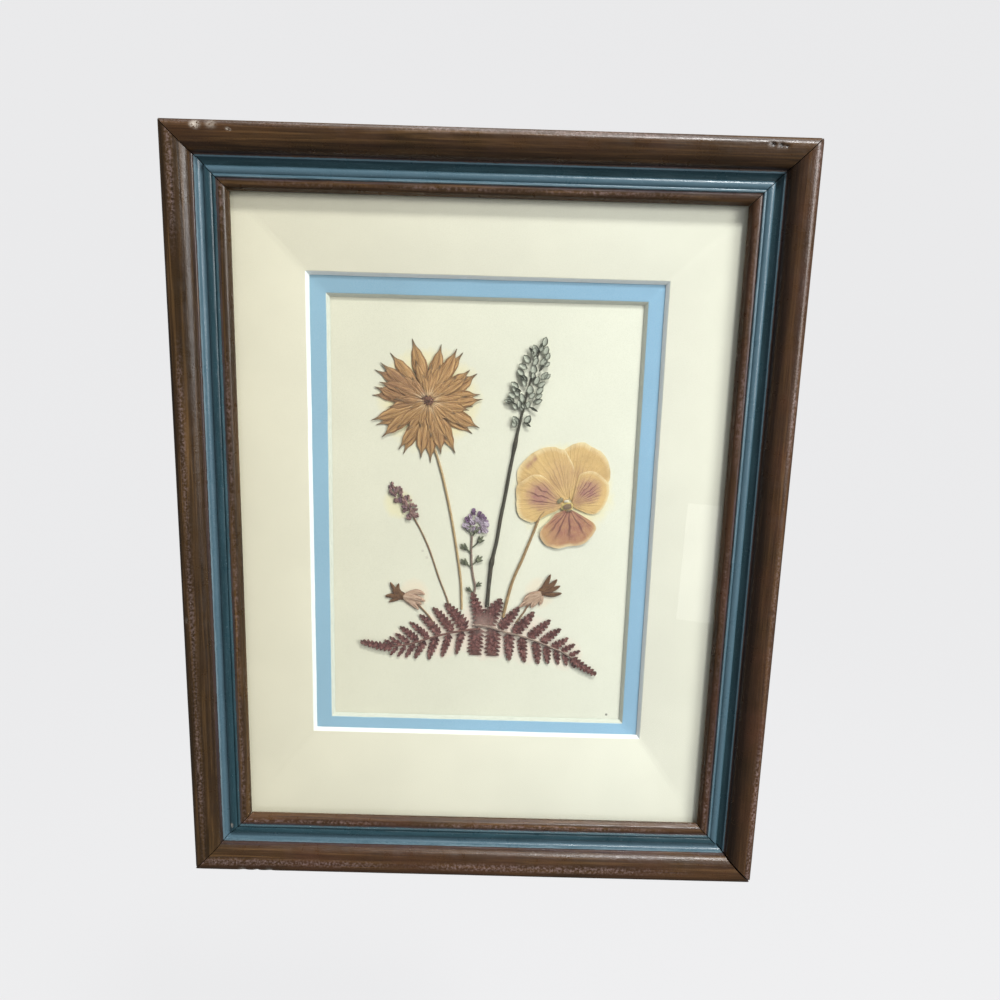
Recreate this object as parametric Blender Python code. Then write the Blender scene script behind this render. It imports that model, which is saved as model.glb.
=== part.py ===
"""A pressed flower picture: a mitred wooden frame with glass, two window mats, the card that the
dried plants lie on, and the backing with its points and hanger.

Metres, +Z up. The frame hangs upright with its front facing -Y. The origin is the hanging point:
the middle notch of the hanger, in the plane of the frame's back (Y = 0)."""

from math import cos, pi, radians, sin

import bmesh
import bpy
from mathutils import Vector

MM = 0.001
GAP = 0.3 * MM  # clearance between pieces that touch

# The frame, seen from the front
FRAME_WIDTH = 252 * MM
FRAME_HEIGHT = 317 * MM
HANGING_POINT_DEPTH = 12 * MM  # of the origin, below the frame's top edge
CENTRE_Z = HANGING_POINT_DEPTH - FRAME_HEIGHT / 2

# The moulding's section: u runs inwards from the outer edge, h forwards from the back
WALL_HEIGHT = 17 * MM
VISIBLE_WIDTH = 24.5 * MM
RABBET_WIDTH = 7 * MM
RABBET_DEPTH = 12.1 * MM

# The sheets behind the glass, front to back: a real 8 1/2 x 11 inch set
SHEET_WIDTH = 215.9 * MM
SHEET_HEIGHT = 279.4 * MM
GLASS_THICKNESS = 2 * MM
MAT_THICKNESS = 1.4 * MM
CARD_THICKNESS = 0.5 * MM
BACKING_THICKNESS = 3 * MM
RABBET_WALL_BOTTOM = CENTRE_Z - FRAME_HEIGHT / 2 + VISIBLE_WIDTH - RABBET_WIDTH
SHEET_BOTTOM = RABBET_WALL_BOTTOM + 0.4 * MM

# Mat windows at the foot of their bevels: half width, top and bottom from the frame's centre
OUTER_WINDOW = (71.9 * MM, 103.6 * MM, -93 * MM)
INNER_WINDOW = (64 * MM, 95.4 * MM, -86.6 * MM)

# Heights of the sheets' front faces, from the back of the frame
GLASS_FRONT = RABBET_DEPTH - GAP
OUTER_MAT_FRONT = GLASS_FRONT - GLASS_THICKNESS - GAP
INNER_MAT_FRONT = OUTER_MAT_FRONT - MAT_THICKNESS - GAP
CARD_FRONT = INNER_MAT_FRONT - MAT_THICKNESS - GAP
BACKING_FRONT = CARD_FRONT - CARD_THICKNESS - GAP
BACKING_BACK = BACKING_FRONT - BACKING_THICKNESS

# Dried plants lie in layers on the card: a sheet of plant, and the step from one to the next
PLANT_THICKNESS = 0.3 * MM
LAYER_STEP = PLANT_THICKNESS + GAP

# Fastenings
POINT_SIZE = (9 * MM, 10 * MM, 0.5 * MM)
POINT_SPREAD = (65 * MM, 85 * MM)
HANGER_LENGTH = 45 * MM
HANGER_THICKNESS = 0.8 * MM
NAIL_SPACING = 38 * MM
NAIL_HEIGHT = 2.6 * MM
NAIL_SHANK_RADIUS = 0.6 * MM
NAIL_LENGTH = 9 * MM

WOOD_BROWN = (0.09, 0.045, 0.03)
GLASS_CLEAR = (0.9, 0.95, 0.93)
MAT_CREAM = (0.8, 0.79, 0.68)
MAT_BLUE = (0.33, 0.6, 0.78)
CARD_CREAM = (0.82, 0.81, 0.67)
BOARD_GREY = (0.33, 0.27, 0.2)
STEEL = (0.45, 0.45, 0.46)
BRACT_TAN = (0.45, 0.25, 0.1)
STEM_TAN = (0.4, 0.25, 0.12)
STEM_OLIVE = (0.12, 0.1, 0.05)
LAVENDER_GREY = (0.25, 0.28, 0.24)
PETAL_OCHRE = (0.6, 0.38, 0.14)
PETAL_PURPLE = (0.28, 0.11, 0.1)
EYE_YELLOW = (0.35, 0.26, 0.06)
SPIKE_PURPLE = (0.17, 0.08, 0.09)
FLOWER_LILAC = (0.32, 0.3, 0.48)
CALYX_BROWN = (0.13, 0.06, 0.03)
PETAL_PINK = (0.5, 0.3, 0.22)
FERN_MAROON = (0.14, 0.035, 0.035)


def clear_scene():
    for old in list(bpy.data.objects):
        bpy.data.objects.remove(old)


def material(name, colour, roughness, metallic=0.0, alpha=1.0):
    """The Principled material of that name, made the first time it is asked for."""
    made = bpy.data.materials.get(name) or bpy.data.materials.new(name)
    made.use_nodes = True
    shader = made.node_tree.nodes["Principled BSDF"]
    shader.inputs["Base Color"].default_value = (*colour, 1.0)
    shader.inputs["Roughness"].default_value = roughness
    shader.inputs["Metallic"].default_value = metallic
    shader.inputs["Alpha"].default_value = alpha
    return made


def add_object(name, build, finish):
    """Turns a bmesh into a named object with outward faces and one material."""
    bmesh.ops.recalc_face_normals(build, faces=build.faces)
    mesh = bpy.data.meshes.new(name)
    build.to_mesh(mesh)
    build.free()
    mesh.materials.append(finish)
    piece = bpy.data.objects.new(name, mesh)
    bpy.context.scene.collection.objects.link(piece)
    return piece


def arc(centre, radii, start, end, steps):
    """Points along part of an ellipse, from one angle in degrees to another."""
    angles = [radians(start + (end - start) * i / steps) for i in range(steps + 1)]
    return [(centre[0] + radii[0] * cos(a), centre[1] + radii[1] * sin(a)) for a in angles]


def joined_strip(build, rings, closed_ends=True):
    """Skins a row of equal closed rings of vertices, and caps the first and the last."""
    for ring, following in zip(rings, rings[1:]):
        for i in range(len(ring)):
            j = (i + 1) % len(ring)
            build.faces.new((ring[i], ring[j], following[j], following[i]))
    if closed_ends:
        build.faces.new(list(reversed(rings[0])))
        build.faces.new(rings[-1])


# --- Frame rails ---------------------------------------------------------------------------


def moulding_section():
    """The moulding's outline in millimetres, from the outer back edge round to the rabbet."""
    outer_back = [(0, 0)]
    ridge_outside = arc((3.5, WALL_HEIGHT / MM), (3.5, 4.2), 180, 90, 6)
    ridge_inside = arc((3.5, 16.5), (8.0, 4.7), 90, 4, 9)[1:]
    fillet = [(11.75, 16.2), (12.6, 16.15)]
    cove = arc((15.2, 16.0), (2.4, 1.85), 175, 270, 5)
    blue_bead = arc((17.2, 14.3), (1.9, 1.7), 165, 35, 7)
    arris = [(18.95, 15.75), (19.6, 15.85), (19.9, 15.1)]
    brown_bead = arc((21.3, 13.7), (2.4, 1.6), 110, 12, 6)
    lip = [(VISIBLE_WIDTH / MM, 12.9), (VISIBLE_WIDTH / MM, RABBET_DEPTH / MM)]
    rabbet = [
        ((VISIBLE_WIDTH - RABBET_WIDTH) / MM, RABBET_DEPTH / MM),
        ((VISIBLE_WIDTH - RABBET_WIDTH) / MM, 0),
    ]
    ridge = ridge_outside + ridge_inside + fillet
    return outer_back + ridge + cove + blue_bead + arris + brown_bead + lip + rabbet


def rail(name, length, outer_offset, turn):
    """A length of moulding with mitred ends. outer_offset is how far its outer edge lies from
    the frame's centre, and turn is its place round the frame, in degrees: 0 is the top."""
    build = bmesh.new()
    mitre_cut = GAP / 2 * 2**0.5
    ends = []
    for side in (-1, 1):
        ring = []
        for u, h in moulding_section():
            along = side * (length / 2 - u * MM - mitre_cut)
            out = outer_offset - u * MM
            spin = radians(turn)
            x = along * cos(spin) + out * sin(spin)
            z = out * cos(spin) - along * sin(spin)
            ring.append(build.verts.new((x, -h * MM, CENTRE_Z + z)))
        ends.append(ring)
    joined_strip(build, ends)
    return add_object(name, build, material("stained_wood", WOOD_BROWN, 0.45))


# --- Flat sheets ---------------------------------------------------------------------------


def sheet_box():
    """Left, right, bottom and top of every sheet that stands in the rabbet."""
    half = SHEET_WIDTH / 2
    return -half, half, SHEET_BOTTOM, SHEET_BOTTOM + SHEET_HEIGHT


def sheet(name, front, thickness, finish):
    """A plain rectangular sheet whose front face is that high above the frame's back."""
    left, right, bottom, top = sheet_box()
    build = bmesh.new()
    rings = []
    for height in (front - thickness, front):
        corners = ((left, bottom), (right, bottom), (right, top), (left, top))
        rings.append([build.verts.new((x, -height, z)) for x, z in corners])
    joined_strip(build, rings)
    return add_object(name, build, finish)


def window_mat(name, front, window, finish):
    """A mat board with a window cut at 45 degrees, wider at the front than at the back."""
    left, right, bottom, top = sheet_box()
    half, window_top, window_bottom = window
    build = bmesh.new()
    rings = []
    for height, flare, hole in (
        (front - MAT_THICKNESS, 0, False),
        (front, 0, False),
        (front, MAT_THICKNESS, True),
        (front - MAT_THICKNESS, 0, True),
    ):
        low = CENTRE_Z + window_bottom - flare
        high = CENTRE_Z + window_top + flare
        corners = ((left, bottom), (right, bottom), (right, top), (left, top))
        if hole:
            out = half + flare
            corners = ((-out, low), (out, low), (out, high), (-out, high))
        rings.append([build.verts.new((x, -height, z)) for x, z in corners])
    joined_strip(build, rings + rings[:1], closed_ends=False)
    return add_object(name, build, finish)


# --- Fastenings at the back ----------------------------------------------------------------


def extruded(name, outline, low, high, finish):
    """A closed outline of (x, z) points, made solid between two heights above the back."""
    build = bmesh.new()
    rings = [[build.verts.new((x, -height, z)) for x, z in outline] for height in (low, high)]
    joined_strip(build, rings)
    return add_object(name, build, finish)


def framers_points():
    """Eight steel tabs that lie on the backing, two along each side of the rabbet."""
    width, reach, thickness = POINT_SIZE
    steel = material("zinc_steel", STEEL, 0.4, 1.0)
    rabbet_x = FRAME_WIDTH / 2 - VISIBLE_WIDTH + RABBET_WIDTH - GAP
    rabbet_z = FRAME_HEIGHT / 2 - VISIBLE_WIDTH + RABBET_WIDTH - GAP
    spread_x, spread_z = POINT_SPREAD
    high = BACKING_BACK - GAP
    number = 0
    for turn, rabbet, spread in (
        (0, rabbet_z, spread_x),
        (90, rabbet_x, spread_z),
        (180, rabbet_z, spread_x),
        (270, rabbet_x, spread_z),
    ):
        for along in (-spread, spread):
            number += 1
            tab = [(along - width / 2, rabbet), (along, rabbet - reach), (along + width / 2, rabbet)]
            spin = radians(turn)
            outline = [
                (a * cos(spin) + out * sin(spin), CENTRE_Z + out * cos(spin) - a * sin(spin))
                for a, out in tab
            ]
            extruded(f"framers_point_{number}", outline, high - thickness, high, steel)


def hanger_strip():
    """The saw-tooth hanger: a steel strip with nail pads, bowed out behind its row of teeth."""
    half = HANGER_LENGTH / 2
    pad = 7 * MM  # flat length at each end, round its nail
    bow = 1.8 * MM  # how far the middle stands off the wood
    tooth_pitch = 2.4 * MM
    teeth = 10
    stations = [(-half, 2.0 * MM, 3.2 * MM, 0.0), (-half + 1.2 * MM, 0.2 * MM, 5 * MM, 0.0)]
    stations.append((-half + pad, -0.6 * MM, 5.8 * MM, 0.0))
    first = -teeth / 2 * tooth_pitch
    for i in range(2 * teeth + 1):
        notch = i % 2 == 0
        stations.append((first + i * tooth_pitch / 2, 0.0 if notch else -1.3 * MM, 6.5 * MM, bow))
    stations += [(-x, low, high, out) for x, low, high, out in reversed(stations[:3])]
    build = bmesh.new()
    rings = []
    for x, low, high, out in stations:
        near = GAP + out
        far = near + HANGER_THICKNESS
        corners = ((near, low), (far, low), (far, high), (near, high))
        rings.append([build.verts.new((x, y, z)) for y, z in corners])
    joined_strip(build, rings)
    return add_object("sawtooth_hanger", build, material("zinc_steel", STEEL, 0.4, 1.0))


def turned(name, profile, x, z, finish, sides=16):
    """A round piece on an axis along Y: profile is (radius, y) from one pole to the other."""
    build = bmesh.new()
    rings = []
    for radius, y in profile:
        angles = [2 * pi * i / sides for i in range(sides)]
        rings.append([build.verts.new((x + radius * cos(a), y, z + radius * sin(a))) for a in angles])
    joined_strip(build, rings)
    return add_object(name, build, finish)


def nails_and_holes(hanger, top_rail):
    """Two nails through the hanger's pads, in pilot holes that the pads and the rail share."""
    steel = material("zinc_steel", STEEL, 0.4, 1.0)
    head_foot = 2 * GAP + HANGER_THICKNESS
    for side, word in ((-1, "left"), (1, "right")):
        x = side * NAIL_SPACING / 2
        shank = NAIL_SHANK_RADIUS
        profile = [
            (0.15 * MM, -NAIL_LENGTH),
            (shank, -NAIL_LENGTH + 1.5 * MM),
            (shank, head_foot),
            (1.8 * MM, head_foot),
            (1.6 * MM, head_foot + 0.5 * MM),
            (0.7 * MM, head_foot + 0.8 * MM),
        ]
        turned(f"hanger_nail_{word}", profile, x, NAIL_HEIGHT, steel)
        hole_radius = shank + GAP
        hole = [(hole_radius, -NAIL_LENGTH - GAP), (hole_radius, 3 * MM)]
        cutter = turned(f"pilot_hole_{word}", hole, x, NAIL_HEIGHT, steel)
        cutter.hide_render = True
        cutter.display_type = "WIRE"
        for drilled in (hanger, top_rail):
            cut = drilled.modifiers.new(f"pilot_hole_{word}", "BOOLEAN")
            cut.operation = "DIFFERENCE"
            cut.object = cutter


# --- Dried plants --------------------------------------------------------------------------
# Outlines and stems are in millimetres from the frame's centre, x right and z up.


def pressed(name, outline, layer, finish, layers=1):
    """A flattened piece of plant: an outline lying in one or more layers above the card."""
    low = CARD_FRONT + GAP + layer * LAYER_STEP
    high = low + layers * LAYER_STEP - GAP
    points = [(x * MM, CENTRE_Z + z * MM) for x, z in outline]
    return extruded(name, points, low, high, finish)


def smooth_path(points, steps):
    """Points on a Catmull-Rom curve through the given ones."""
    knots = [Vector(p) for p in (points[0], *points, points[-1])]
    path = []
    for a, b, c, d in zip(knots, knots[1:], knots[2:], knots[3:]):
        for i in range(steps):
            t = i / steps
            path.append(
                0.5 * (2 * b + (c - a) * t + (2 * a - 5 * b + 4 * c - d) * t**2
                       + (3 * b - a - 3 * c + d) * t**3)
            )
    return path + [knots[-1]]


def ribbon_outline(path, half_widths):
    """The outline of a strip along a path, half_widths(share along it) to each side."""
    left, right = [], []
    for i, point in enumerate(path):
        ahead = path[min(i + 1, len(path) - 1)] - path[max(i - 1, 0)]
        across = Vector((-ahead.y, ahead.x)).normalized()
        one, other = half_widths(i / (len(path) - 1))
        left.append(tuple(point + across * one))
        right.append(tuple(point - across * other))
    return left + right[::-1]


def stem(name, points, width, finish):
    path = smooth_path(points, 3)
    return pressed(name, ribbon_outline(path, lambda t: (width / 2, width / 2)), 0, finish)


def leafy_outline(points, half_width, lobes, depth):
    """A spindle along a path whose edges swell into lobes, for spikes and bracts."""
    path = smooth_path(points, max(2, 2 * lobes // (len(points) - 1)))

    def widths(t):
        swell = sin(pi * min(1.0, 0.08 + 0.92 * t)) ** 0.5
        lobe = 1 - depth * (0.5 + 0.5 * cos(2 * pi * lobes * t))
        return half_width * swell * lobe + 0.25, half_width * swell * lobe + 0.25

    return ribbon_outline(path, widths)


def petal_outline(base, tip, width, steps=18):
    """An egg-shaped petal from its narrow base to its round tip."""
    foot, end = Vector(base), Vector(tip)
    along = end - foot
    across = Vector((-along.y, along.x)).normalized() * width / 2
    outline = []
    for i in range(steps):
        a = 2 * pi * i / steps
        share = 0.5 - 0.5 * cos(a)
        outline.append(tuple(foot + along * share + across * sin(a) * (0.45 + 0.55 * share) * 1.15))
    return outline


def star_outline(centre, points, tip_radius, valley_radius):
    """Pointed bracts round a centre."""
    outline = []
    for i in range(2 * points):
        radius = valley_radius if i % 2 else tip_radius
        a = pi * i / points
        outline.append((centre[0] + radius * sin(a), centre[1] + radius * cos(a)))
    return outline


def frond_outline(rachis, pairs, longest, lean):
    """A fern frond: pointed pinnae down both sides of a curved midrib, leaning to its tip."""
    path = smooth_path(rachis, 2 * pairs)
    sides = ([], [])
    last = len(path) - 1
    for pair in range(pairs):
        for part, reach in ((0.0, 0.5), (0.55, 1.0)):
            t = (pair + part) / pairs
            i = int(t * last)
            ahead = (path[min(i + 1, last)] - path[max(i - 1, 0)]).normalized()
            across = Vector((-ahead.y, ahead.x))
            length = longest * (1 - t) ** 0.7
            for side, sign in zip(sides, (1, -1)):
                offset = across * sign * 0.6
                if reach == 1.0:
                    offset = across * sign * length + ahead * length * lean
                side.append(tuple(path[i] + offset))
    return sides[0] + [tuple(path[-1])] + sides[1][::-1]


def star_flower():
    """A daisy-like head of straw bracts on a thin tan stem."""
    head = star_outline((-23.6, 54.3), 25, 24.5, 18.5)
    pressed("star_flower_head", head, 1, material("tan_bracts", BRACT_TAN, 0.8), 3)
    points = [(-20.6, 34), (-17.3, 23), (-13.3, 5.5), (-10, -13.5), (-8.5, -25.5), (-8, -36.5)]
    stem("star_flower_stem", points, 1, material("tan_stem", STEM_TAN, 0.8))


def lavender():
    """A grey lavender spike on a dark stem."""
    axis = [(15.2, 44.2), (18.6, 62), (24.2, 81.2)]
    finish = material("grey_lavender", LAVENDER_GREY, 0.85)
    pressed("lavender_spike", leafy_outline(axis, 5.2, 8, 0.3), 0, finish, 4)
    points = [(14.2, 42.6), (11.7, 27.7), (9, 10.9), (6.7, -5), (4.4, -17.2), (3.1, -33.5)]
    stem("lavender_stem", points, 1.5, material("olive_stem", STEM_OLIVE, 0.8))


def pansy():
    """Five overlapping petals, a small centre and a stem."""
    centre = (36.8, 11.2)
    ochre = material("ochre_petals", PETAL_OCHRE, 0.7)
    for word, base, tip, width, layer in (
        ("upper_right", (38, 13), (46.5, 37), 23, 0),
        ("upper_left", (36, 13), (20, 33), 24, 1),
        ("side_left", (36, 12), (14.6, 10), 18, 2),
        ("side_right", (38.2, 12), (54.4, 19.5), 15, 2),
    ):
        pressed(f"pansy_petal_{word}", petal_outline(base, tip, width), layer, ochre)
    purple = material("purple_petal", PETAL_PURPLE, 0.7)
    pressed("pansy_petal_lower", petal_outline((36.8, 10), (37.5, -8.3), 25), 3, purple)
    eye = arc(centre, (2, 2), 0, 330, 11)
    pressed("pansy_centre", eye, 4, material("yellow_eye", EYE_YELLOW, 0.8))
    points = [(25.3, 8), (20.6, -5.5), (17, -15.1), (12.5, -27), (10.8, -37)]
    stem("pansy_stem", points, 1.1, material("olive_stem", STEM_OLIVE, 0.8))


def small_spike():
    """A short purple spike on a hair-thin stem."""
    axis = [(-29, 2.6), (-33, 11), (-39.7, 18.9)]
    finish = material("purple_spike", SPIKE_PURPLE, 0.85)
    pressed("small_spike_head", leafy_outline(axis, 2.8, 5, 0.3), 0, finish, 3)
    points = [(-28.4, 1.2), (-22.4, -11.2), (-17.4, -26.5), (-14.2, -33)]
    stem("small_spike_stem", points, 0.8, material("tan_stem", STEM_TAN, 0.8))


def blue_flower():
    """A head of tiny lilac flowers on a stem that carries green seed cups."""
    lilac = material("lilac_flowers", FLOWER_LILAC, 0.75)
    pressed("blue_flower_cluster", star_outline((-2.1, 3.2), 8, 6.3, 4.2), 0, lilac, 3)
    points = [(-4.2, -2.8), (-4.1, -8.9), (-4, -17.5), (-2.9, -26.1), (-3.2, -30)]
    stem("blue_flower_stem", points, 1, material("olive_stem", STEM_OLIVE, 0.8))


def bud(side, base, tips, petals, stem_points):
    """A brown calyx with spread lobes, the faded petals in its mouth, and its stem."""
    brown = material("brown_calyx", CALYX_BROWN, 0.8)
    pressed(f"bud_{side}_calyx", [base[0], *tips, base[1]], 0, brown, 2)
    petal_finish = material("faded_petals", PETAL_PINK, 0.75)
    pressed(f"bud_{side}_petals", petal_outline(*petals), 0, petal_finish, 2)
    stem(f"bud_{side}_stem", stem_points, 0.8, material("tan_stem", STEM_TAN, 0.8))


def buds():
    bud(
        "left",
        ((-34.1, -31), (-34.3, -29.3)),
        [(-40.6, -34), (-41.5, -31.5), (-37.5, -30.2), (-40.2, -25.5), (-35.5, -26.6)],
        ((-33.4, -30.4), (-23.8, -34.8), 6),
        [(-28.8, -37.2), (-24.8, -38.8), (-21.8, -40.6)],
    )
    bud(
        "right",
        ((28, -28.6), (27, -26.6)),
        [(35.6, -29), (33.4, -26.6), (34.7, -24.8), (31.6, -24.2), (32.4, -21.8), (28.8, -22)],
        ((26, -28), (17.6, -33.6), 6),
        [(20.4, -36.2), (19.3, -38), (18.7, -39.2)],
    )


def fern():
    """Two maroon fronds laid foot to foot, and a sprig that stands between them."""
    maroon = material("maroon_fern", FERN_MAROON, 0.85)
    left = [(-4.2, -46), (-13.3, -48.2), (-22.4, -50.4), (-29.5, -53.4), (-37.1, -55), (-53, -53.2)]
    right = [(5, -45), (10.9, -46.6), (20.4, -49.2), (31.2, -53.3), (39.5, -57.6), (52.6, -65.4)]
    pressed("fern_frond_left", frond_outline(left, 9, 12, 0.35), 1, maroon)
    pressed("fern_frond_right", frond_outline(right, 9, 12, 0.35), 1, maroon)
    sprig = frond_outline([(0.5, -52), (0.2, -42), (0, -31)], 4, 7, 0.3)
    pressed("fern_sprig_centre", sprig, 2, maroon)


def main():
    clear_scene()
    top_rail = rail("rail_top", FRAME_WIDTH, FRAME_HEIGHT / 2, 0)
    rail("rail_right", FRAME_HEIGHT, FRAME_WIDTH / 2, 90)
    rail("rail_bottom", FRAME_WIDTH, FRAME_HEIGHT / 2, 180)
    rail("rail_left", FRAME_HEIGHT, FRAME_WIDTH / 2, 270)
    clear = material("clear_glass", GLASS_CLEAR, 0.05, alpha=0.25)
    sheet("glass_pane", GLASS_FRONT, GLASS_THICKNESS, clear)
    window_mat("outer_mat", OUTER_MAT_FRONT, OUTER_WINDOW, material("cream_board", MAT_CREAM, 0.9))
    window_mat("inner_mat", INNER_MAT_FRONT, INNER_WINDOW, material("blue_board", MAT_BLUE, 0.9))
    sheet("mounting_card", CARD_FRONT, CARD_THICKNESS, material("cream_card", CARD_CREAM, 0.9))
    sheet("backing_board", BACKING_FRONT, BACKING_THICKNESS, material("grey_board", BOARD_GREY, 0.9))
    framers_points()
    nails_and_holes(hanger_strip(), top_rail)
    star_flower()
    lavender()
    pansy()
    small_spike()
    blue_flower()
    buds()
    fern()


main()
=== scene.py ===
"""Looks for a pressed flower picture: a stained and painted frame, two window mats, and the dried
plants on their card. Metres, +Z up; the frame hangs upright and its front faces -Y."""

from math import cos, exp, hypot, pi, radians, sin
from random import Random

import bmesh
import bpy
from mathutils import Matrix, Vector, noise


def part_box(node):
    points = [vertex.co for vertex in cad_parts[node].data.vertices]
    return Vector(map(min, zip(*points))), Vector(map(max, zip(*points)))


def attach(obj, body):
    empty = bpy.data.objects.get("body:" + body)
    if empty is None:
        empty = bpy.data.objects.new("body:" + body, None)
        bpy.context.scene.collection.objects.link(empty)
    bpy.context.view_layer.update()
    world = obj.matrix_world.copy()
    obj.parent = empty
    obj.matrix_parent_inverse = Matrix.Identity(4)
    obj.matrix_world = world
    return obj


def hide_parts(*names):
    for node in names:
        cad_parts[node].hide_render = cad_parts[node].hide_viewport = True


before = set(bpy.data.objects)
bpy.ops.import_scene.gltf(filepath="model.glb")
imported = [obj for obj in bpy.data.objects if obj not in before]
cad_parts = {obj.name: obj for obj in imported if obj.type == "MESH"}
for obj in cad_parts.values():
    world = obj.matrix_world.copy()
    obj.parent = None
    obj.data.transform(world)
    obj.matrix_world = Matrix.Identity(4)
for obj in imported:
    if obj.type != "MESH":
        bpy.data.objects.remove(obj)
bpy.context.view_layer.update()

# --- Where things are ----------------------------------------------------------------------
# The picture's centre is midway between the rails. Plants are placed in millimetres from it,
# x right and z up, and lie on the front of the card.

MM = 0.001
scene = bpy.context.scene
top_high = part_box("rail_top")[1]
foot_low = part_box("rail_bottom")[0]
left_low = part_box("rail_left")[0]
right_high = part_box("rail_right")[1]
frame_width = right_high.x - left_low.x
frame_height = top_high.z - foot_low.z
centre_z = (top_high.z + foot_low.z) / 2
card_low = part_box("mounting_card")[0]
glass_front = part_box("glass_pane")[0].y


# --- Camera --------------------------------------------------------------------------------
# A hand-held view from a little above the middle, tipped down and rolled by a degree or two.

CAMERA_PLACE = (5.4 * MM, glass_front - 329.3 * MM, centre_z + 79.7 * MM)
CAMERA_TIP = 11.3  # degrees down
CAMERA_TURN = -0.35  # degrees to its left
CAMERA_ROLL = 1.65
LENS = 28.7

camera_data = bpy.data.cameras.new("camera")
camera_data.lens = LENS
camera_data.sensor_width = 36
camera_data.clip_start = 0.01
camera = bpy.data.objects.new("camera", camera_data)
turned = Matrix.Rotation(radians(CAMERA_TURN), 4, "Z")
tipped = Matrix.Rotation(radians(90 - CAMERA_TIP), 4, "X")
rolled = Matrix.Rotation(radians(CAMERA_ROLL), 4, "Z")
camera.matrix_world = Matrix.Translation(CAMERA_PLACE) @ turned @ tipped @ rolled
scene.collection.objects.link(camera)
scene.camera = camera


# --- Studio --------------------------------------------------------------------------------
# A pale floor that sweeps up into a pale wall all round, soft lamps above, at the right and in
# front, a faint low one, and an even pale sky.

ROOM_COLOUR = (0.83, 0.83, 0.84, 1)
SKY_STRENGTH = 0.36
SKY_IN_GLOSS = 0.13  # the furniture round the frame darkens what shiny surfaces mirror
FLOOR_DROP = 0.5  # below the frame's bottom edge
ROOM_RADIUS = 3.0
ROOM_HEIGHT = 4
SWEEP_RADIUS = 1.2
SWEEP_STEPS = 12
ROOM_SIDES = 64

scene.view_settings.view_transform = "Standard"
world = bpy.data.worlds.new("pale_sky")
world.use_nodes = True
sky_nodes, sky_link = world.node_tree.nodes, world.node_tree.links.new
sky = sky_nodes["Background"]
sky.inputs["Color"].default_value = ROOM_COLOUR
sky_ray = sky_nodes.new("ShaderNodeLightPath")
sky_share = sky_nodes.new("ShaderNodeMath")
sky_share.operation = "MULTIPLY_ADD"
sky_share.inputs[1].default_value = SKY_IN_GLOSS - SKY_STRENGTH
sky_share.inputs[2].default_value = SKY_STRENGTH
sky_link(sky_ray.outputs["Is Glossy Ray"], sky_share.inputs[0])
sky_link(sky_share.outputs[0], sky.inputs["Strength"])
scene.world = world


def area_lamp(name, place, aim, size, power):
    """A rectangular lamp that faces a point."""
    lamp_data = bpy.data.lights.new(name, "AREA")
    lamp_data.shape = "RECTANGLE"
    lamp_data.size, lamp_data.size_y = size
    lamp_data.energy = power
    lamp = bpy.data.objects.new(name, lamp_data)
    lamp.location = place
    lamp.rotation_euler = (Vector(aim) - Vector(place)).to_track_quat("-Z", "Y").to_euler()
    scene.collection.objects.link(lamp)


picture_centre = (0, card_low.y, centre_z)
# Each lamp: place across, forward and above the picture's centre, width and height, power
LAMPS = {
    "lamp_above": ((0.5, -0.95, 1.6), (0.26, 0.26), 30),
    "lamp_right": ((1.45, -1.1, 0.45), (0.6, 1.1), 19),
    "ceiling": ((0.1, 0.1, 1.9), (1.6, 1.0), 16),
    "lamp_front": ((1.6, -1.7, 0.9), (1.2, 0.5), 17),
    "low_window": ((0.5, -1.45, -0.41), (0.12, 0.27), 0.08),
}
for lamp_name, ((lamp_x, lamp_y, lamp_rise), lamp_size, lamp_power) in LAMPS.items():
    area_lamp(lamp_name, (lamp_x, lamp_y, centre_z + lamp_rise), picture_centre, lamp_size, lamp_power)

floor_z = foot_low.z - FLOOR_DROP
sweep = [(0.02, floor_z), (ROOM_RADIUS - SWEEP_RADIUS, floor_z)]
for step in range(1, SWEEP_STEPS + 1):
    angle = radians(90 * step / SWEEP_STEPS)
    out = ROOM_RADIUS - SWEEP_RADIUS + SWEEP_RADIUS * sin(angle)
    sweep.append((out, floor_z + SWEEP_RADIUS * (1 - cos(angle))))
sweep.append((ROOM_RADIUS, floor_z + ROOM_HEIGHT))
room_build = bmesh.new()
room_rings = []
for out, z in sweep:
    turns = [2 * pi * i / ROOM_SIDES for i in range(ROOM_SIDES)]
    room_rings.append([room_build.verts.new((out * cos(a), out * sin(a), z)) for a in turns])
for ring, following in zip(room_rings, room_rings[1:]):
    for i in range(ROOM_SIDES):
        j = (i + 1) % ROOM_SIDES
        room_build.faces.new((ring[i], following[i], following[j], ring[j]))
room_build.faces.new(room_rings[0])
room_mesh = bpy.data.meshes.new("room")
room_build.to_mesh(room_mesh)
room_build.free()
room_mesh.shade_smooth()
room_paint = bpy.data.materials.new("room_paint")
room_paint.use_nodes = True
room_shader = room_paint.node_tree.nodes["Principled BSDF"]
room_shader.inputs["Base Color"].default_value = (0.06, 0.06, 0.06, 1)
room_shader.inputs["Roughness"].default_value = 1
room_shader.inputs["Emission Color"].default_value = ROOM_COLOUR
room_shader.inputs["Emission Strength"].default_value = 0.94
room_mesh.materials.append(room_paint)
room = bpy.data.objects.new("room", room_mesh)
room.visible_diffuse = False
room.visible_glossy = False
room.visible_shadow = False
scene.collection.objects.link(room)


# --- Frame rails ---------------------------------------------------------------------------
# Four lengths of one wooden moulding, mitred and glued. A rounded ridge and a thin bead are
# stained reddish brown and lacquered; the hollow between them is painted slate blue.

RAIL_STATION = 0.8 * MM  # between rows of points along a rail
MITRE_CUT = 0.21 * MM
OPEN_MITRE = 0.45 * MM  # how far the bottom right joint gapes at the outer edge
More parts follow.
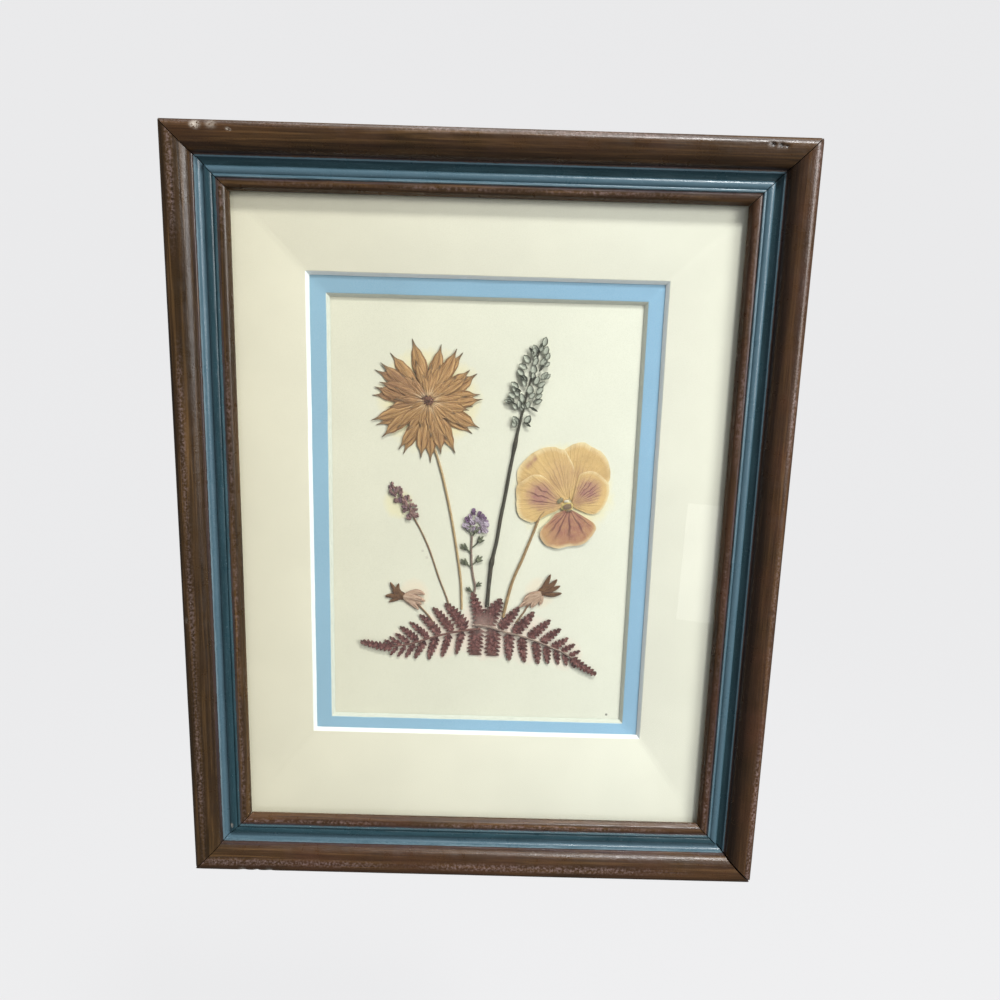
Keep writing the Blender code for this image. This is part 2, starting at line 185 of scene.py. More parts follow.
# Wear on each corner in mm, by the sides it lies on: left -1 or right 1, bottom -1 or top 1
CORNER_ROUNDS = {(-1, 1): 0.7, (1, 1): 1.6, (-1, -1): 2.3, (1, -1): 0.9}
FULLER = {"right": 0.5, "bottom": 0.9}  # how much wider these rails were left, in mm
RIDGE_SHEEN_LINE = {"top": 1.4, "right": 2.3, "bottom": 5.2, "left": 4.8}  # painted highlight line on each ridge, in mm from the outer edge
SHEEN_STRENGTH = {"top": 1.2, "right": 1.2, "bottom": 1.8, "left": 1.2}  # how bright each rail's painted highlight is
RIDGE_FOOT_SHADE = {"top": 0.35, "right": 0.8, "bottom": 0.1, "left": 0.4}  # painted shade along each ridge's foot
PAINT_BAND = (12.2, 20.0)  # edges of the blue, in mm from the outer edge
RABBET_MM = (17.5, 12.1)
SECTION_WIDTH = 24.5
FACE_START = 13.5  # height above the back, in mm, where dents and the painted shade begin
BEAD_LINE = 21.8  # top of the inner bead, in mm from the outer edge, where a painted highlight also runs
RED_STAIN = {"top": 0.45, "right": 0.8, "bottom": 0.75, "left": 0.2}
RIDGE_WIDTH = 9  # the fuller rails gain their width within this much of the outer edge, in mm
RIDGE_FOOT = (9.8, 2.2)  # where the painted shade at each ridge's foot lies, from the outer edge, and how wide, in mm
BACK_WIDTH = 17  # the last side of the section, in mm, which the grain runs on over
RIPPLES = (0.05, 0.03)  # in mm, broad and fine, on all but the sides and the back
RAIL_ATTRIBUTES = ("paint", "paint_light_and_shade", "arris", "red", "painted_sheen", "chip_and_shade")


class Finish:
    """A procedural material, built up node by node on its Principled shader."""

    def __init__(self, name, **sockets):
        self.material = bpy.data.materials.new(name)
        self.material.use_nodes = True
        self.tree = self.material.node_tree
        self.shader = self.tree.nodes["Principled BSDF"]
        self.place = self.node("TexCoord").outputs["Object"]
        for socket, value in sockets.items():
            self.shader.inputs[socket.replace("_", " ")].default_value = value

    def node(self, kind, **settings):
        made = self.tree.nodes.new("ShaderNode" + kind)
        for setting, value in settings.items():
            setattr(made, setting, value)
        return made

    def put(self, socket, value):
        """Sets a socket, or links it if the value is another node's output."""
        if isinstance(value, bpy.types.NodeSocket):
            self.tree.links.new(value, socket)
        else:
            socket.default_value = value

    def attribute(self, name, output="Fac"):
        return self.node("Attribute", attribute_name=name).outputs[output]

    def math(self, operation, a, b=0.5, clamp=False):
        made = self.node("Math", operation=operation, use_clamp=clamp)
        self.put(made.inputs[0], a)
        self.put(made.inputs[1], b)
        return made.outputs[0]

    def times(self, a, b, clamp=False):
        return self.math("MULTIPLY", a, b, clamp)

    def plus(self, a, b, clamp=False):
        return self.math("ADD", a, b, clamp)

    def off(self, value, middle):
        """How far a value is from the middle one, either way."""
        return self.math("ABSOLUTE", self.math("SUBTRACT", value, middle))

    def blade(self):
        """A plant's UV map, and how far it says a point is along the blade and across it."""
        blade = self.node("UVMap", uv_map="blade").outputs[0]
        split = self.node("SeparateXYZ")
        self.put(split.inputs[0], blade)
        return blade, split.outputs[0], split.outputs[1]

    def distance(self, x, z):
        """How far a point is from a place on the card, given in mm from the picture's centre."""
        made = self.node("VectorMath", operation="DISTANCE")
        self.put(made.inputs[0], self.place)
        made.inputs[1].default_value = (x * MM, card_low.y, centre_z + z * MM)
        return made.outputs["Value"]

    def stretched(self, vector, scale):
        made = self.node("Mapping")
        self.put(made.inputs["Vector"], vector)
        made.inputs["Scale"].default_value = scale
        return made.outputs[0]

    def noise(self, vector, scale, detail=3, roughness=0.55, distortion=0):
        made = self.node("TexNoise")
        for socket, value in (("Vector", vector), ("Scale", scale), ("Detail", detail)):
            self.put(made.inputs[socket], value)
        made.inputs["Roughness"].default_value = roughness
        made.inputs["Distortion"].default_value = distortion
        return made.outputs["Fac"]

    def ramp(self, value, *stops):
        """Colours or plain numbers at rising positions."""
        made = self.node("ValToRGB")
        self.put(made.inputs["Fac"], value)
        elements = made.color_ramp.elements
        while len(elements) < len(stops):
            elements.new(0.5)
        for element, (position, colour) in zip(elements, stops):
            element.position = position
            shade = colour if isinstance(colour, tuple) else (colour,) * 3
            element.color = (*shade, 1)
        return made.outputs["Color"]

    def mix(self, share, a, b, blend="MIX"):
        made = self.node("Mix", data_type="RGBA", blend_type=blend)
        for index, value in ((0, share), (6, a), (7, b)):
            if isinstance(value, tuple):
                value = (*value, 1)
            self.put(made.inputs[index], value)
        return made.outputs[2]

    def bump(self, height, distance, strength=1.0, over=None):
        made = self.node("Bump")
        self.put(made.inputs["Height"], height)
        made.inputs["Distance"].default_value = distance
        made.inputs["Strength"].default_value = strength
        if over is not None:
            self.put(made.inputs["Normal"], over)
        return made.outputs["Normal"]

    def surface(self, **sockets):
        """Links or sets the shader's own sockets, such as Base_Color, Roughness and Normal."""
        for socket, value in sockets.items():
            if isinstance(value, tuple):
                value = (*value, 1)
            self.put(self.shader.inputs[socket.replace("_", " ")], value)
        return self.material


def moulding_finish():
    """Grained stain, the blue painted over it in a band, its chips, and painted highlights and shade on both.
    """
    made = Finish("stained_and_painted_wood", Specular_IOR_Level=0.45)
    grain_place = made.node("UVMap", uv_map="grain").outputs[0]
    grain = made.noise(made.stretched(grain_place, (16, 700, 1)), 1, 5, 0.62, 0.7)
    pores = made.noise(made.stretched(grain_place, (70, 3000, 1)), 1, 3, 0.5)
    broad = made.noise(made.stretched(grain_place, (7, 130, 1)), 1, 3)
    blotch = made.noise(made.place, 42, 4, 0.6)
    stain = made.ramp(
        grain, (0.3, (0.015, 0.0085, 0.003)), (0.5, (0.055, 0.03, 0.01)), (0.72, (0.16, 0.087, 0.03))
    )
    stain = made.mix(made.ramp(broad, (0.4, 0.0), (0.7, 0.75)), stain, (0.018, 0.0115, 0.004))
    red = made.times(made.ramp(blotch, (0.3, 0.15), (0.75, 0.8)), made.attribute("red"))
    stain = made.mix(red, stain, (0.09, 0.036, 0.02))
    stain = made.mix(made.ramp(pores, (0.55, 0.0), (0.75, 0.6)), stain, (0.01, 0.006, 0.003))
    scuffs = made.noise(made.place, 900, 4, 0.65)
    # Painted highlight: pinkish lines along the ridges and the bead, broken up by the scuffs
    sheen_amount = made.times(made.attribute("painted_sheen"), made.ramp(scuffs, (0.45, 0.0), (0.65, 0.5)))
    stain = made.mix(sheen_amount, stain, (0.36, 0.26, 0.245))
    wiped = made.noise(made.stretched(grain_place, (34, 420, 1)), 1, 4, 0.62)
    # Paint lighter on the side that faces the light and darker in the cove: painted light and shade, with the
    # paint wiped thin in streaks
    paint_light_and_shade = made.plus(made.attribute("paint_light_and_shade"), made.times(wiped, 0.8))
    paint = made.ramp(
        paint_light_and_shade, (0.25, (0.012, 0.037, 0.047)), (0.6, (0.028, 0.07, 0.088)), (1.0, (0.07, 0.13, 0.165))
    )
    speck = made.noise(made.place, 2600, 2)
    paint = made.mix(made.ramp(speck, (0.66, 0.0), (0.74, 0.45)), paint, (0.25, 0.36, 0.42))
    wobble = made.times(made.math("SUBTRACT", made.noise(made.place, 420, 4, 0.7), 0.5), 0.6)
    inside = made.plus(made.attribute("paint"), wobble)
    # A pale line along the edge of the blue that faces the light: a painted highlight, broken up where the
    # paint is wiped
    arris = made.ramp(made.off(inside, 0.35), (0.1, 0.6), (0.4, 0.0))
    arris = made.times(arris, made.ramp(wiped, (0.35, 0.25), (0.6, 1.0)))
    arris = made.times(arris, made.attribute("arris"))
    paint = made.mix(arris, paint, (0.27, 0.38, 0.42))
    thin = made.ramp(made.plus(made.times(inside, 0.7), 1.0), (0.2, 0.0), (0.55, 0.45))
    thin = made.times(thin, made.ramp(wiped, (0.35, 0.2), (0.6, 1.0)))
    stain = made.mix(thin, stain, (0.09, 0.075, 0.095))
    painted = made.ramp(made.plus(made.times(inside, 2.5), 0.5), (0.3, 0.0), (0.7, 1.0))
    colour = made.mix(painted, stain, paint)
    knock_and_shade = made.attribute("chip_and_shade")
    chips = made.times(made.math("MAXIMUM", knock_and_shade, 0.0), made.ramp(scuffs, (0.4, 0.0), (0.5, 1.0)))
    colour = made.mix(chips, colour, (0.68, 0.62, 0.53))
    # Values below 0 are painted shade: darker dents and a darker ridge foot
    painted_shade = made.times(made.math("MAXIMUM", made.times(knock_and_shade, -1.0), 0.0), 0.85)
    colour = made.mix(painted_shade, colour, (0.008, 0.005, 0.004))
    gloss = made.ramp(made.noise(made.place, 160, 4), (0.3, 0.24), (0.7, 0.4))
    rough = made.mix(chips, gloss, (0.8, 0.8, 0.8))
    relief = made.plus(grain, made.times(pores, 0.6))
    ripple = made.bump(relief, 0.00008, 0.8)
    orange_peel = made.bump(made.noise(made.place, 1100, 3, 0.6), 0.00009, 0.75, ripple)
    return made.surface(Base_Color=colour, Roughness=rough, Normal=orange_peel)


def arc(centre, radii, start, end, steps):
    """Points along part of an ellipse, from one angle in degrees to another."""
    angles = [radians(start + (end - start) * i / steps) for i in range(steps + 1)]
    return [(centre[0] + radii[0] * cos(a), centre[1] + radii[1] * sin(a)) for a in angles]


def moulding_section():
    """The moulding's outline in mm: in from the outer edge, and forward from the back."""
    outline = [(0.3, 0), (0, 0.3), (0, 7), (0, 13)]
    outline += arc((3.5, 17), (3.5, 4.2), 180, 90, 14)
    outline += arc((3.5, 16.5), (8.0, 4.7), 90, 4, 20)[1:]
    outline += [(11.55, 16.35), (11.75, 16.2), (12.3, 16.25), (12.6, 16.15)]
    outline += arc((15.2, 16.0), (2.4, 1.85), 175, 270, 12)
    outline += arc((17.2, 14.3), (1.9, 1.7), 165, 38, 14)
    outline += [(18.75, 15.55), (19.0, 15.78), (19.4, 15.86), (19.65, 15.8), (19.85, 15.5), (19.95, 15.15)]
    outline += arc((21.3, 13.7), (2.4, 1.6), 122, 12, 14)
    outline += [(24.35, 13.3), (SECTION_WIDTH, 12.95), (SECTION_WIDTH, 12.3), (24.3, 12.1)]
    return outline + [RABBET_MM, (17.5, 0.3), (17.2, 0)]


# Knocks in the wood: rail, place along it and across it in mm, radius, depth, and how pale
# the bare wood shows (below 0, how dark the painted shade in the dent is)
KNOCKS = (
    ("top", -111, 2.5, 1.6, 0.5, 0.6),
    ("top", -105, 2.2, 1.8, 0.25, 0.22),
    ("top", -98.5, 4, 0.6, 0.3, 0.8),
    ("top", 106.3, 3.4, 1.0, 0.75, -1.0),
    ("top", 109.5, 3.7, 1.0, 0.75, -1.0),
    ("top", 111.6, 4.0, 0.8, 0.6, -1.0),
    ("bottom", 92, 1.3, 1.5, 0.5, 0.25),
    ("bottom", 98, 0.9, 1.3, 0.55, 0.35),
    ("bottom", 104, 1.2, 1.7, 0.5, 0.25),
    ("left", -139, 16, 0.8, 0.3, 1.0),
    ("right", 30, 3.4, 1.2, 0.3, -0.4),
    ("left", -40, 2.5, 1.3, 0.35, 0.1),
)


def rounded_corner(x, z):
    """Pulls a point in the frame's plane inside the worn round of its corner."""
    side, end = (1 if x > 0 else -1), (1 if z > 0 else -1)
    radius = CORNER_ROUNDS[side, end] * MM
    reach_x = abs(x) - (frame_width / 2 - radius)
    reach_z = abs(z) - (frame_height / 2 - radius)
    out = hypot(reach_x, reach_z)
    if reach_x <= 0 or reach_z <= 0 or out <= radius:
        return x, z
    x = side * (frame_width / 2 - radius + reach_x * radius / out)
    return x, end * (frame_height / 2 - radius + reach_z * radius / out)


def add_piece(name, build, finishes, slot, stands_for=(), smooth_angle=None):
    """Turns a bmesh into a piece of the part, and hides the CAD nodes it stands for."""
    mesh = bpy.data.meshes.new(name)
    build.to_mesh(mesh)
    build.free()
    for finish in finishes:
        mesh.materials.append(finish)
    if smooth_angle is not None:
        mesh.shade_smooth()
        mesh.set_sharp_from_angle(angle=radians(smooth_angle))
    piece = bpy.data.objects.new(name, mesh)
    scene.collection.objects.link(piece)
    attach(piece, "root")
    if stands_for:
        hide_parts(*stands_for)
    return piece


def rail(word, length, outer_offset, turn, finish):
    """One rail. turn is its place round the frame in degrees: 0 is the top, 90 the right."""
    section = moulding_section()
    across = [0.0]
    for a, b in zip(section, section[1:]):
        across.append(across[-1] + hypot(b[0] - a[0], b[1] - a[1]))
    build = bmesh.new()
    grain_uv = build.loops.layers.uv.new("grain")
    layers = {key: build.verts.layers.float.new(key) for key in RAIL_ATTRIBUTES}
    steps = round(length / RAIL_STATION)
    spin = radians(turn)
    knocks = [k for k in KNOCKS if k[0] == word]
    rings = []
    shares = []
    for i in range(steps + 1):
        share = -1 + 2 * i / steps
        ring = []
        for u, h in section:
            gape = 0.0
            if (word == "right" and share > 0) or (word == "bottom" and share < 0):
                gape = OPEN_MITRE * max(0.0, 1 - u / SECTION_WIDTH)
            inward = u - FULLER.get(word, 0.0) * max(0.0, 1 - u / RIDGE_WIDTH)
            limit = length / 2 - inward * MM - MITRE_CUT - gape * abs(share)
            along = share * limit
            ripple = noise.noise((along * 60, turn + u * 0.35, 3.1))
            edge = noise.noise((along * 240, turn + u * 1.3, 7.7))
            sunk = RIPPLES[0] * ripple + RIPPLES[1] * edge if h > 12.2 else 0.0
            bare_and_shade = 0.0
            for _, where, knock_u, radius, depth, paleness_and_shade in knocks:
                if h < FACE_START:
                    continue
                far = hypot(along / MM - where, (u - knock_u) * 1.2) / radius
                uneven = 1 + 0.35 * noise.noise((along * 900, u * 0.9, where))
                sunk += depth * exp(-((far * 1.25) ** 2)) * uneven
                shown = paleness_and_shade * exp(-((far * 0.9) ** 4))
                bare_and_shade = shown if abs(shown) > abs(bare_and_shade) else bare_and_shade
            # Painted shade along the ridge's foot, stored below 0 like a dark dent
            if h > FACE_START:
                bare_and_shade -= RIDGE_FOOT_SHADE[word] * exp(-(((u - RIDGE_FOOT[0]) / RIDGE_FOOT[1]) ** 2))
            out = outer_offset - inward * MM
            x = along * cos(spin) + out * sin(spin)
            z = out * cos(spin) - along * sin(spin)
            x, z = rounded_corner(x, z)
            vert = build.verts.new((x, -(h - max(sunk, -0.05)) * MM, centre_z + z))
            # Painted highlight lines on the ridge and the bead, patchy along the rail
            patchy = 0.5 + 1.2 * noise.noise((along * 22, turn, 1.7))
            sheen_amount = exp(-(((u - RIDGE_SHEEN_LINE[word]) / 1.1) ** 2)) + 0.8 * exp(-(((u - BEAD_LINE) / 0.8) ** 2))
            vert[layers["paint"]] = min(u - PAINT_BAND[0], PAINT_BAND[1] - u) if h > 12.5 else -2.0
            lit_outside = word in ("left", "bottom")  # the blue's outer side faces the light on these rails
            # Paint lighter on its lit side and darker in the cove: painted light and shade
            rise = (17.5 - u) / 4 if lit_outside else (h - 14.3) / 1.7
            vert[layers["paint_light_and_shade"]] = max(0.0, min(1.0, rise)) * 0.7
            # Painted highlight on the edge of the blue that faces the light
            vert[layers["arris"]] = 1.0 if (u < 16) == lit_outside else 0.15
            vert[layers["red"]] = RED_STAIN[word]
            vert[layers["painted_sheen"]] = max(0.0, min(1.0, sheen_amount * patchy * SHEEN_STRENGTH[word]))
            vert[layers["chip_and_shade"]] = bare_and_shade
            ring.append(vert)
        rings.append(ring)
        shares.append(share * length / 2)
    count = len(section)
    perimeter = across + [across[-1] + BACK_WIDTH]
    for n, (ring, following) in enumerate(zip(rings, rings[1:])):
        for i in range(count):
            j = (i + 1) % count
            face = build.faces.new((ring[i], ring[j], following[j], following[i]))
            corners = ((n, i), (n, i + 1), (n + 1, i + 1), (n + 1, i))
            for loop, (row, column) in zip(face.loops, corners):
                loop[grain_uv].uv = (shares[row] + turn, perimeter[column] * MM)
    for cap in (rings[0][::-1], rings[-1]):
        build.faces.new(cap)
    bmesh.ops.recalc_face_normals(build, faces=build.faces)
    add_piece(f"{word}_rail", build, [finish], "stained_wood", (f"rail_{word}",), 38)


moulding = moulding_finish()
rail("top", frame_width, frame_height / 2, 0, moulding)
rail("right", frame_height, frame_width / 2, 90, moulding)
rail("bottom", frame_width, frame_height / 2, 180, moulding)
rail("left", frame_height, frame_width / 2, 270, moulding)


# --- Window mats ---------------------------------------------------------------------------
# Two pieces of mat board, cream over blue: coloured paper on a white core. Each window is cut
# at 45 degrees with a hand mat cutter, so the core shows as a bright bevel.

SHEET_LOW, SHEET_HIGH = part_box("outer_mat")
MAT_SIDE_POINTS = 60
# Foot of each window's bevel, in mm from the centre: half width, top and bottom
OUTER_WINDOW = (71.9, 103.6, -93)
INNER_WINDOW = (64, 95.4, -86.6)
BEVEL_STRIPS = (4, 5)  # of the strips of faces from a mat's back edge round to its back again


def window_ring(build, half, low, high, y, uneven, seed):
    """Points round a rectangle, a little uneven as a hand-cut edge is."""
    corners = ((-half, low), (half, low), (half, high), (-half, high))
    ring = []
    for (x0, z0), (x1, z1) in zip(corners, corners[1:] + corners[:1]):
        for i in range(MAT_SIDE_POINTS):
            t = i / MAT_SIDE_POINTS
            x, z = x0 + (x1 - x0) * t, z0 + (z1 - z0) * t
            shift = uneven * noise.noise((x * 90, z * 90, seed))
            ring.append(build.verts.new((x + shift * (z1 != z0), y, centre_z + z + shift * (x1 != x0))))
    return ring


def left_shade(made, colour):
    """Painted shade: the paper darker and yellower towards the left."""
    split = made.node("SeparateXYZ")
    made.put(split.inputs[0], made.place)
    left = made.times(split.outputs[0], 1 / (-180 * MM))
    left = made.plus(left, 0.35, True)
    return made.mix(left, colour, (0.87, 0.82, 0.74), "MULTIPLY")


def flecked(made, paper, fleck, shaded):
    """Paper with flecks and faint clouds in it, painted shade towards the left, and the fibres that roughen
    it.
    """
    fibres = made.noise(made.place, 2200, 4, 0.7)
    cloud = made.noise(made.place, 30, 3)
    colour = made.mix(made.ramp(fibres, (0.3, 0.0), (0.75, 1.0)), fleck, paper)
    shade = made.ramp(cloud, (0.3, shaded), (0.7, 1.0))
    return made.mix(1.0, left_shade(made, colour), shade, "MULTIPLY"), made.bump(fibres, 0.00008, 0.5)


def board_finish(name, paper, fleck):
    made = Finish(name, Specular_IOR_Level=0.25)
    colour, fibres = flecked(made, paper, fleck, 0.94)
    return made.surface(Base_Color=colour, Roughness=0.9, Normal=fibres)


def window_mat(node, tint, window, finishes, seed):
    """A mat with a bevelled window, whose front edge is slightly rounded."""
    low_corner, high_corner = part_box(node)
    front, back = low_corner.y, high_corner.y
    half, top, bottom = (value * MM for value in window)
    flare = back - front
    soft = 0.09 * MM  # rounding of the cut edge
    edge = (SHEET_HIGH.x - SHEET_LOW.x) / 2
    sheet_bottom, sheet_top = low_corner.z - centre_z, high_corner.z - centre_z
    build = bmesh.new()
    rings = []
    for inset, y in (
        (flare + 2 * soft, front),
        (flare + soft, front + 0.25 * soft),
        (flare - 0.3 * soft, front + soft),
        (flare / 2, (front + back) / 2),
        (0.0, back),
    ):
        rings.append(window_ring(build, half + inset, bottom - inset, top + inset, y, 0.09 * MM, seed))
    outside_front = window_ring(build, edge, sheet_bottom, sheet_top, front, 0, seed)
    outside_back = window_ring(build, edge, sheet_bottom, sheet_top, back, 0, seed)
    loops = [outside_back, outside_front, *rings, outside_back]
    for number, (ring, following) in enumerate(zip(loops, loops[1:])):
        for i in range(len(ring)):
            j = (i + 1) % len(ring)
            face = build.faces.new((ring[i], ring[j], following[j], following[i]))
            face.material_index = 1 if number in BEVEL_STRIPS else 0
    bmesh.ops.recalc_face_normals(build, faces=build.faces)
    add_piece(f"{tint}_mat", build, finishes, f"{tint}_board", (node,), 20)


def core_finish(name, *stops):
    made = Finish(name, Specular_IOR_Level=0.2)
    layers = made.noise(made.stretched(made.place, (300, 6000, 300)), 1, 3)
    return made.surface(Base_Color=made.ramp(layers, *stops), Roughness=0.95)


core_white = core_finish("white_core", (0.3, (0.68, 0.71, 0.7)), (0.7, (0.8, 0.83, 0.82)))
core_cream = core_finish("cream_core", (0.3, (0.5, 0.52, 0.44)), (0.7, (0.62, 0.64, 0.55)))
cream_paper = board_finish("cream_paper", (0.86, 0.85, 0.72), (0.78, 0.76, 0.63))
blue_paper = board_finish("blue_paper", (0.34, 0.55, 0.72), (0.25, 0.46, 0.64))
window_mat("outer_mat", "cream", OUTER_WINDOW, [cream_paper, core_white], 1.3)
window_mat("inner_mat", "blue", INNER_WINDOW, [blue_paper, core_cream], 5.9)


# --- Glass ---------------------------------------------------------------------------------
# A plain 2 mm picture glass, clear with a green edge, that lies under the rails' lips.

glass = Finish("picture_glass", Base_Color=(1, 1, 1, 1), Roughness=0.0, IOR=1.45, Transmission_Weight=1)
clear = glass.node("BsdfTransparent")
clear.inputs["Color"].default_value = (0.97, 0.985, 0.975, 1)
ray = glass.node("LightPath")
unseen = glass.math("MAXIMUM", ray.outputs["Is Shadow Ray"], ray.outputs["Is Diffuse Ray"])
either = glass.node("MixShader")
glass.put(either.inputs[0], unseen)
glass.put(either.inputs[1], glass.shader.outputs[0])
glass.put(either.inputs[2], clear.outputs[0])
output = next(n for n in glass.tree.nodes if n.type == "OUTPUT_MATERIAL")
glass.put(output.inputs["Surface"], either.outputs[0])


def refinish(node, material):
    """Gives a CAD node whose shape is right its real finish."""
    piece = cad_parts[node]
    piece.data.materials.clear()
    piece.data.materials.append(material)


refinish("glass_pane", glass.material)


# --- Mounting card -------------------------------------------------------------------------
# A sheet of cream card behind both windows. The plants were pressed against it, and their
# juices have left faint stains.

# Stains: place in mm from the picture's centre, radius, colour, strength
STAINS = (
    ((-23.3, 54.4), 27, (0.82, 0.7, 0.36), 0.75),
    ((34.5, 17), 27, (0.84, 0.75, 0.4), 0.7),
    ((-36, 10), 8.5, (0.8, 0.72, 0.4), 0.5),
    ((-29, -30), 9, (0.83, 0.68, 0.5), 0.45),
    ((26, -28), 9, (0.83, 0.68, 0.5), 0.45),
    ((3, -46), 18, (0.84, 0.64, 0.54), 0.6),
    ((-17, -48), 15, (0.84, 0.66, 0.54), 0.55),
    ((-33, -53), 9.5, (0.84, 0.68, 0.56), 0.5),
    ((22, -50), 15, (0.84, 0.66, 0.56), 0.5),
    ((38, -56), 10, (0.84, 0.68, 0.56), 0.5),
    ((-25.4, -10.5), 0.9, (0.5, 0.45, 0.36), 0.5),
    ((-23.6, -13.5), 0.9, (0.5, 0.45, 0.36), 0.4),
    ((58.2, -84.6), 0.8, (0.1, 0.09, 0.07), 0.8),
)
card_finish = Finish("card_paper", Specular_IOR_Level=0.25)
card_colour, card_fibres = flecked(card_finish, (0.84, 0.84, 0.71), (0.76, 0.76, 0.63), 0.95)
seep = card_finish.times(card_finish.noise(card_finish.place, 170, 4, 0.6), 0.35)
for (x, z), radius, colour, strength in STAINS:
    far = card_finish.times(card_finish.distance(x, z), 1 / (radius * MM))
    far = card_finish.plus(far, seep)
    amount = card_finish.ramp(far, (0.7, strength), (0.85, strength * 0.6), (1.0, 0.0))
    card_colour = card_finish.mix(amount, card_colour, colour)
card_finish.surface(Base_Color=card_colour, Roughness=0.9, Normal=card_fibres)
refinish("mounting_card", card_finish.material)


# --- Star flower ---------------------------------------------------------------------------
# The dried head of a daisy-like everlasting, pressed flat: rings of papery straw bracts, each
# folded along its middle and drawn out to a thin hooked tip, round a small maroon centre.

STAR_CENTRE = (-23.3, 54.4)
# Shorter bracts over the outer ones: how many, shortest and longest, widths, height, in mm
STAR_INNER_RINGS = ((17, 14.5, 19.0, (3.6, 4.8), 1.25), (15, 8.5, 13.0, (2.6, 3.6), 1.55))
# Tips of the outer bracts, clockwise from the top left, in mm
STAR_TIPS = (
    (-30.5, 79.5), (-18.5, 77.5), (-12, 76), (-9.5, 74.5), (-6.5, 67.5), (-3.5, 66), (-2, 57.5),
    (-1, 55.5), (-5, 52.5), (-2, 43.5), (-5, 41), (-12, 32.5), (-18, 32), (-22.5, 28), (-26.5, 30),
    (-34, 31.5), (-36, 33.5), (-43, 38.5), (-45.5, 43.5), (-47.5, 45.5), (-47, 56), (-46, 59.5),
    (-44, 61.5), (-46, 66.5), (-43.5, 69.5), (-39.5, 73.5),
)


def on_card(x, z, lift):
    """A point in mm from the picture's centre and above the card, as a place in metres."""
    return Vector((x * MM, card_low.y - lift * MM, centre_z + z * MM))


def smooth_path(points, steps):
    """Points on a Catmull-Rom curve through the given ones, in the plane."""
    knots = [Vector(p) for p in (points[0], *points, points[-1])]
    path = []
    for a, b, c, d in zip(knots, knots[1:], knots[2:], knots[3:]):
        for i in range(steps):
            t = i / steps
            path.append(
                0.5 * (2 * b + (c - a) * t + (2 * a - 5 * b + 4 * c - d) * t**2
                       + (3 * b - a - 3 * c + d) * t**3)
            )
    return path + [knots[-1]]


def plant_layers(build):
    """The UV map and the tone that every plant's finish reads."""
    blade = build.loops.layers.uv.get("blade") or build.loops.layers.uv.new("blade")
    tone = build.verts.layers.float.get("tone") or build.verts.layers.float.new("tone")
    return blade, tone


def add_sheet(build, rows, thickness, tone):
    """A thin closed sheet whose front is a grid of (x, z, lift) points in mm."""
    blade, tone_layer = plant_layers(build)
    grids = []
    for drop in (0.0, thickness):
        grid = []
        for row in rows:
            grid.append([build.verts.new(on_card(x, z, max(lift - drop, 0.02))) for x, z, lift in row])
        grids.append(grid)
    for grid in grids:
        for row in grid:
            for vert in row:
                vert[tone_layer] = tone
    front, back = grids
    last_row, last = len(rows) - 1, len(rows[0]) - 1

    def quad(*corners):
        face = build.faces.new([grids[side][i][j] for side, i, j in corners])
        for loop, (_, i, j) in zip(face.loops, corners):
            loop[blade].uv = (i / last_row, j / last)

    for i in range(last_row):
        for j in range(last):
            quad((0, i, j), (0, i, j + 1), (0, i + 1, j + 1), (0, i + 1, j))
            quad((1, i, j), (1, i + 1, j), (1, i + 1, j + 1), (1, i, j + 1))
        quad((0, i, 0), (0, i + 1, 0), (1, i + 1, 0), (1, i, 0))
        quad((0, i, last), (1, i, last), (1, i + 1, last), (0, i + 1, last))
    for j in range(last):
        quad((0, 0, j), (1, 0, j), (1, 0, j + 1), (0, 0, j + 1))
        quad((0, last_row, j), (0, last_row, j + 1), (1, last_row, j + 1), (1, last_row, j))


def add_blade(build, path, half_width, lift, thickness=0.12, tone=0.5, columns=6):
    """A leaf-like sheet along a path. half_width(t) and lift(t, s) are in mm: t runs from 0 at
    the base to 1 at the tip, and s from -1 to 1 across."""
    rows = []
    last = len(path) - 1
    for i, point in enumerate(path):
        ahead = path[min(i + 1, last)] - path[max(i - 1, 0)]
        across = Vector((-ahead.y, ahead.x)).normalized()
        t = i / last
        row = []
        for j in range(columns + 1):
            s = 2 * j / columns - 1
            place = point + across * s * max(half_width(t), 0.03)
            row.append((place.x, place.y, lift(t, s)))
        rows.append(row)
    add_sheet(build, rows, thickness, tone)


def add_plant(name, build, finish, slot, stands_for, smooth_angle=70):
    bmesh.ops.recalc_face_normals(build, faces=build.faces)
    return add_piece(name, build, [finish], slot, stands_for, smooth_angle)


def hooked_path(base, tip, bend, steps=14):
    """From base to tip, bowed to one side and hooked at the end by bend mm."""
    start, end = Vector(base), Vector(tip)
    along = end - start
    across = Vector((-along.y, along.x)).normalized()
    path = []
    for i in range(steps + 1):
        t = i / steps
        path.append(start + along * t + across * bend * (sin(pi * t) * 0.55 - t**6 * 0.9 + t**7 * 0.9))
    return path


def shaped(t, *stops):
    """A smooth curve through (t, value) stops, with t rising."""
    for (t0, low), (t1, high) in zip(stops, stops[1:]):
        if t <= t1:
            share = max(0.0, (t - t0) / (t1 - t0))
            return low + (high - low) * share * share * (3 - 2 * share)
    return stops[-1][1]


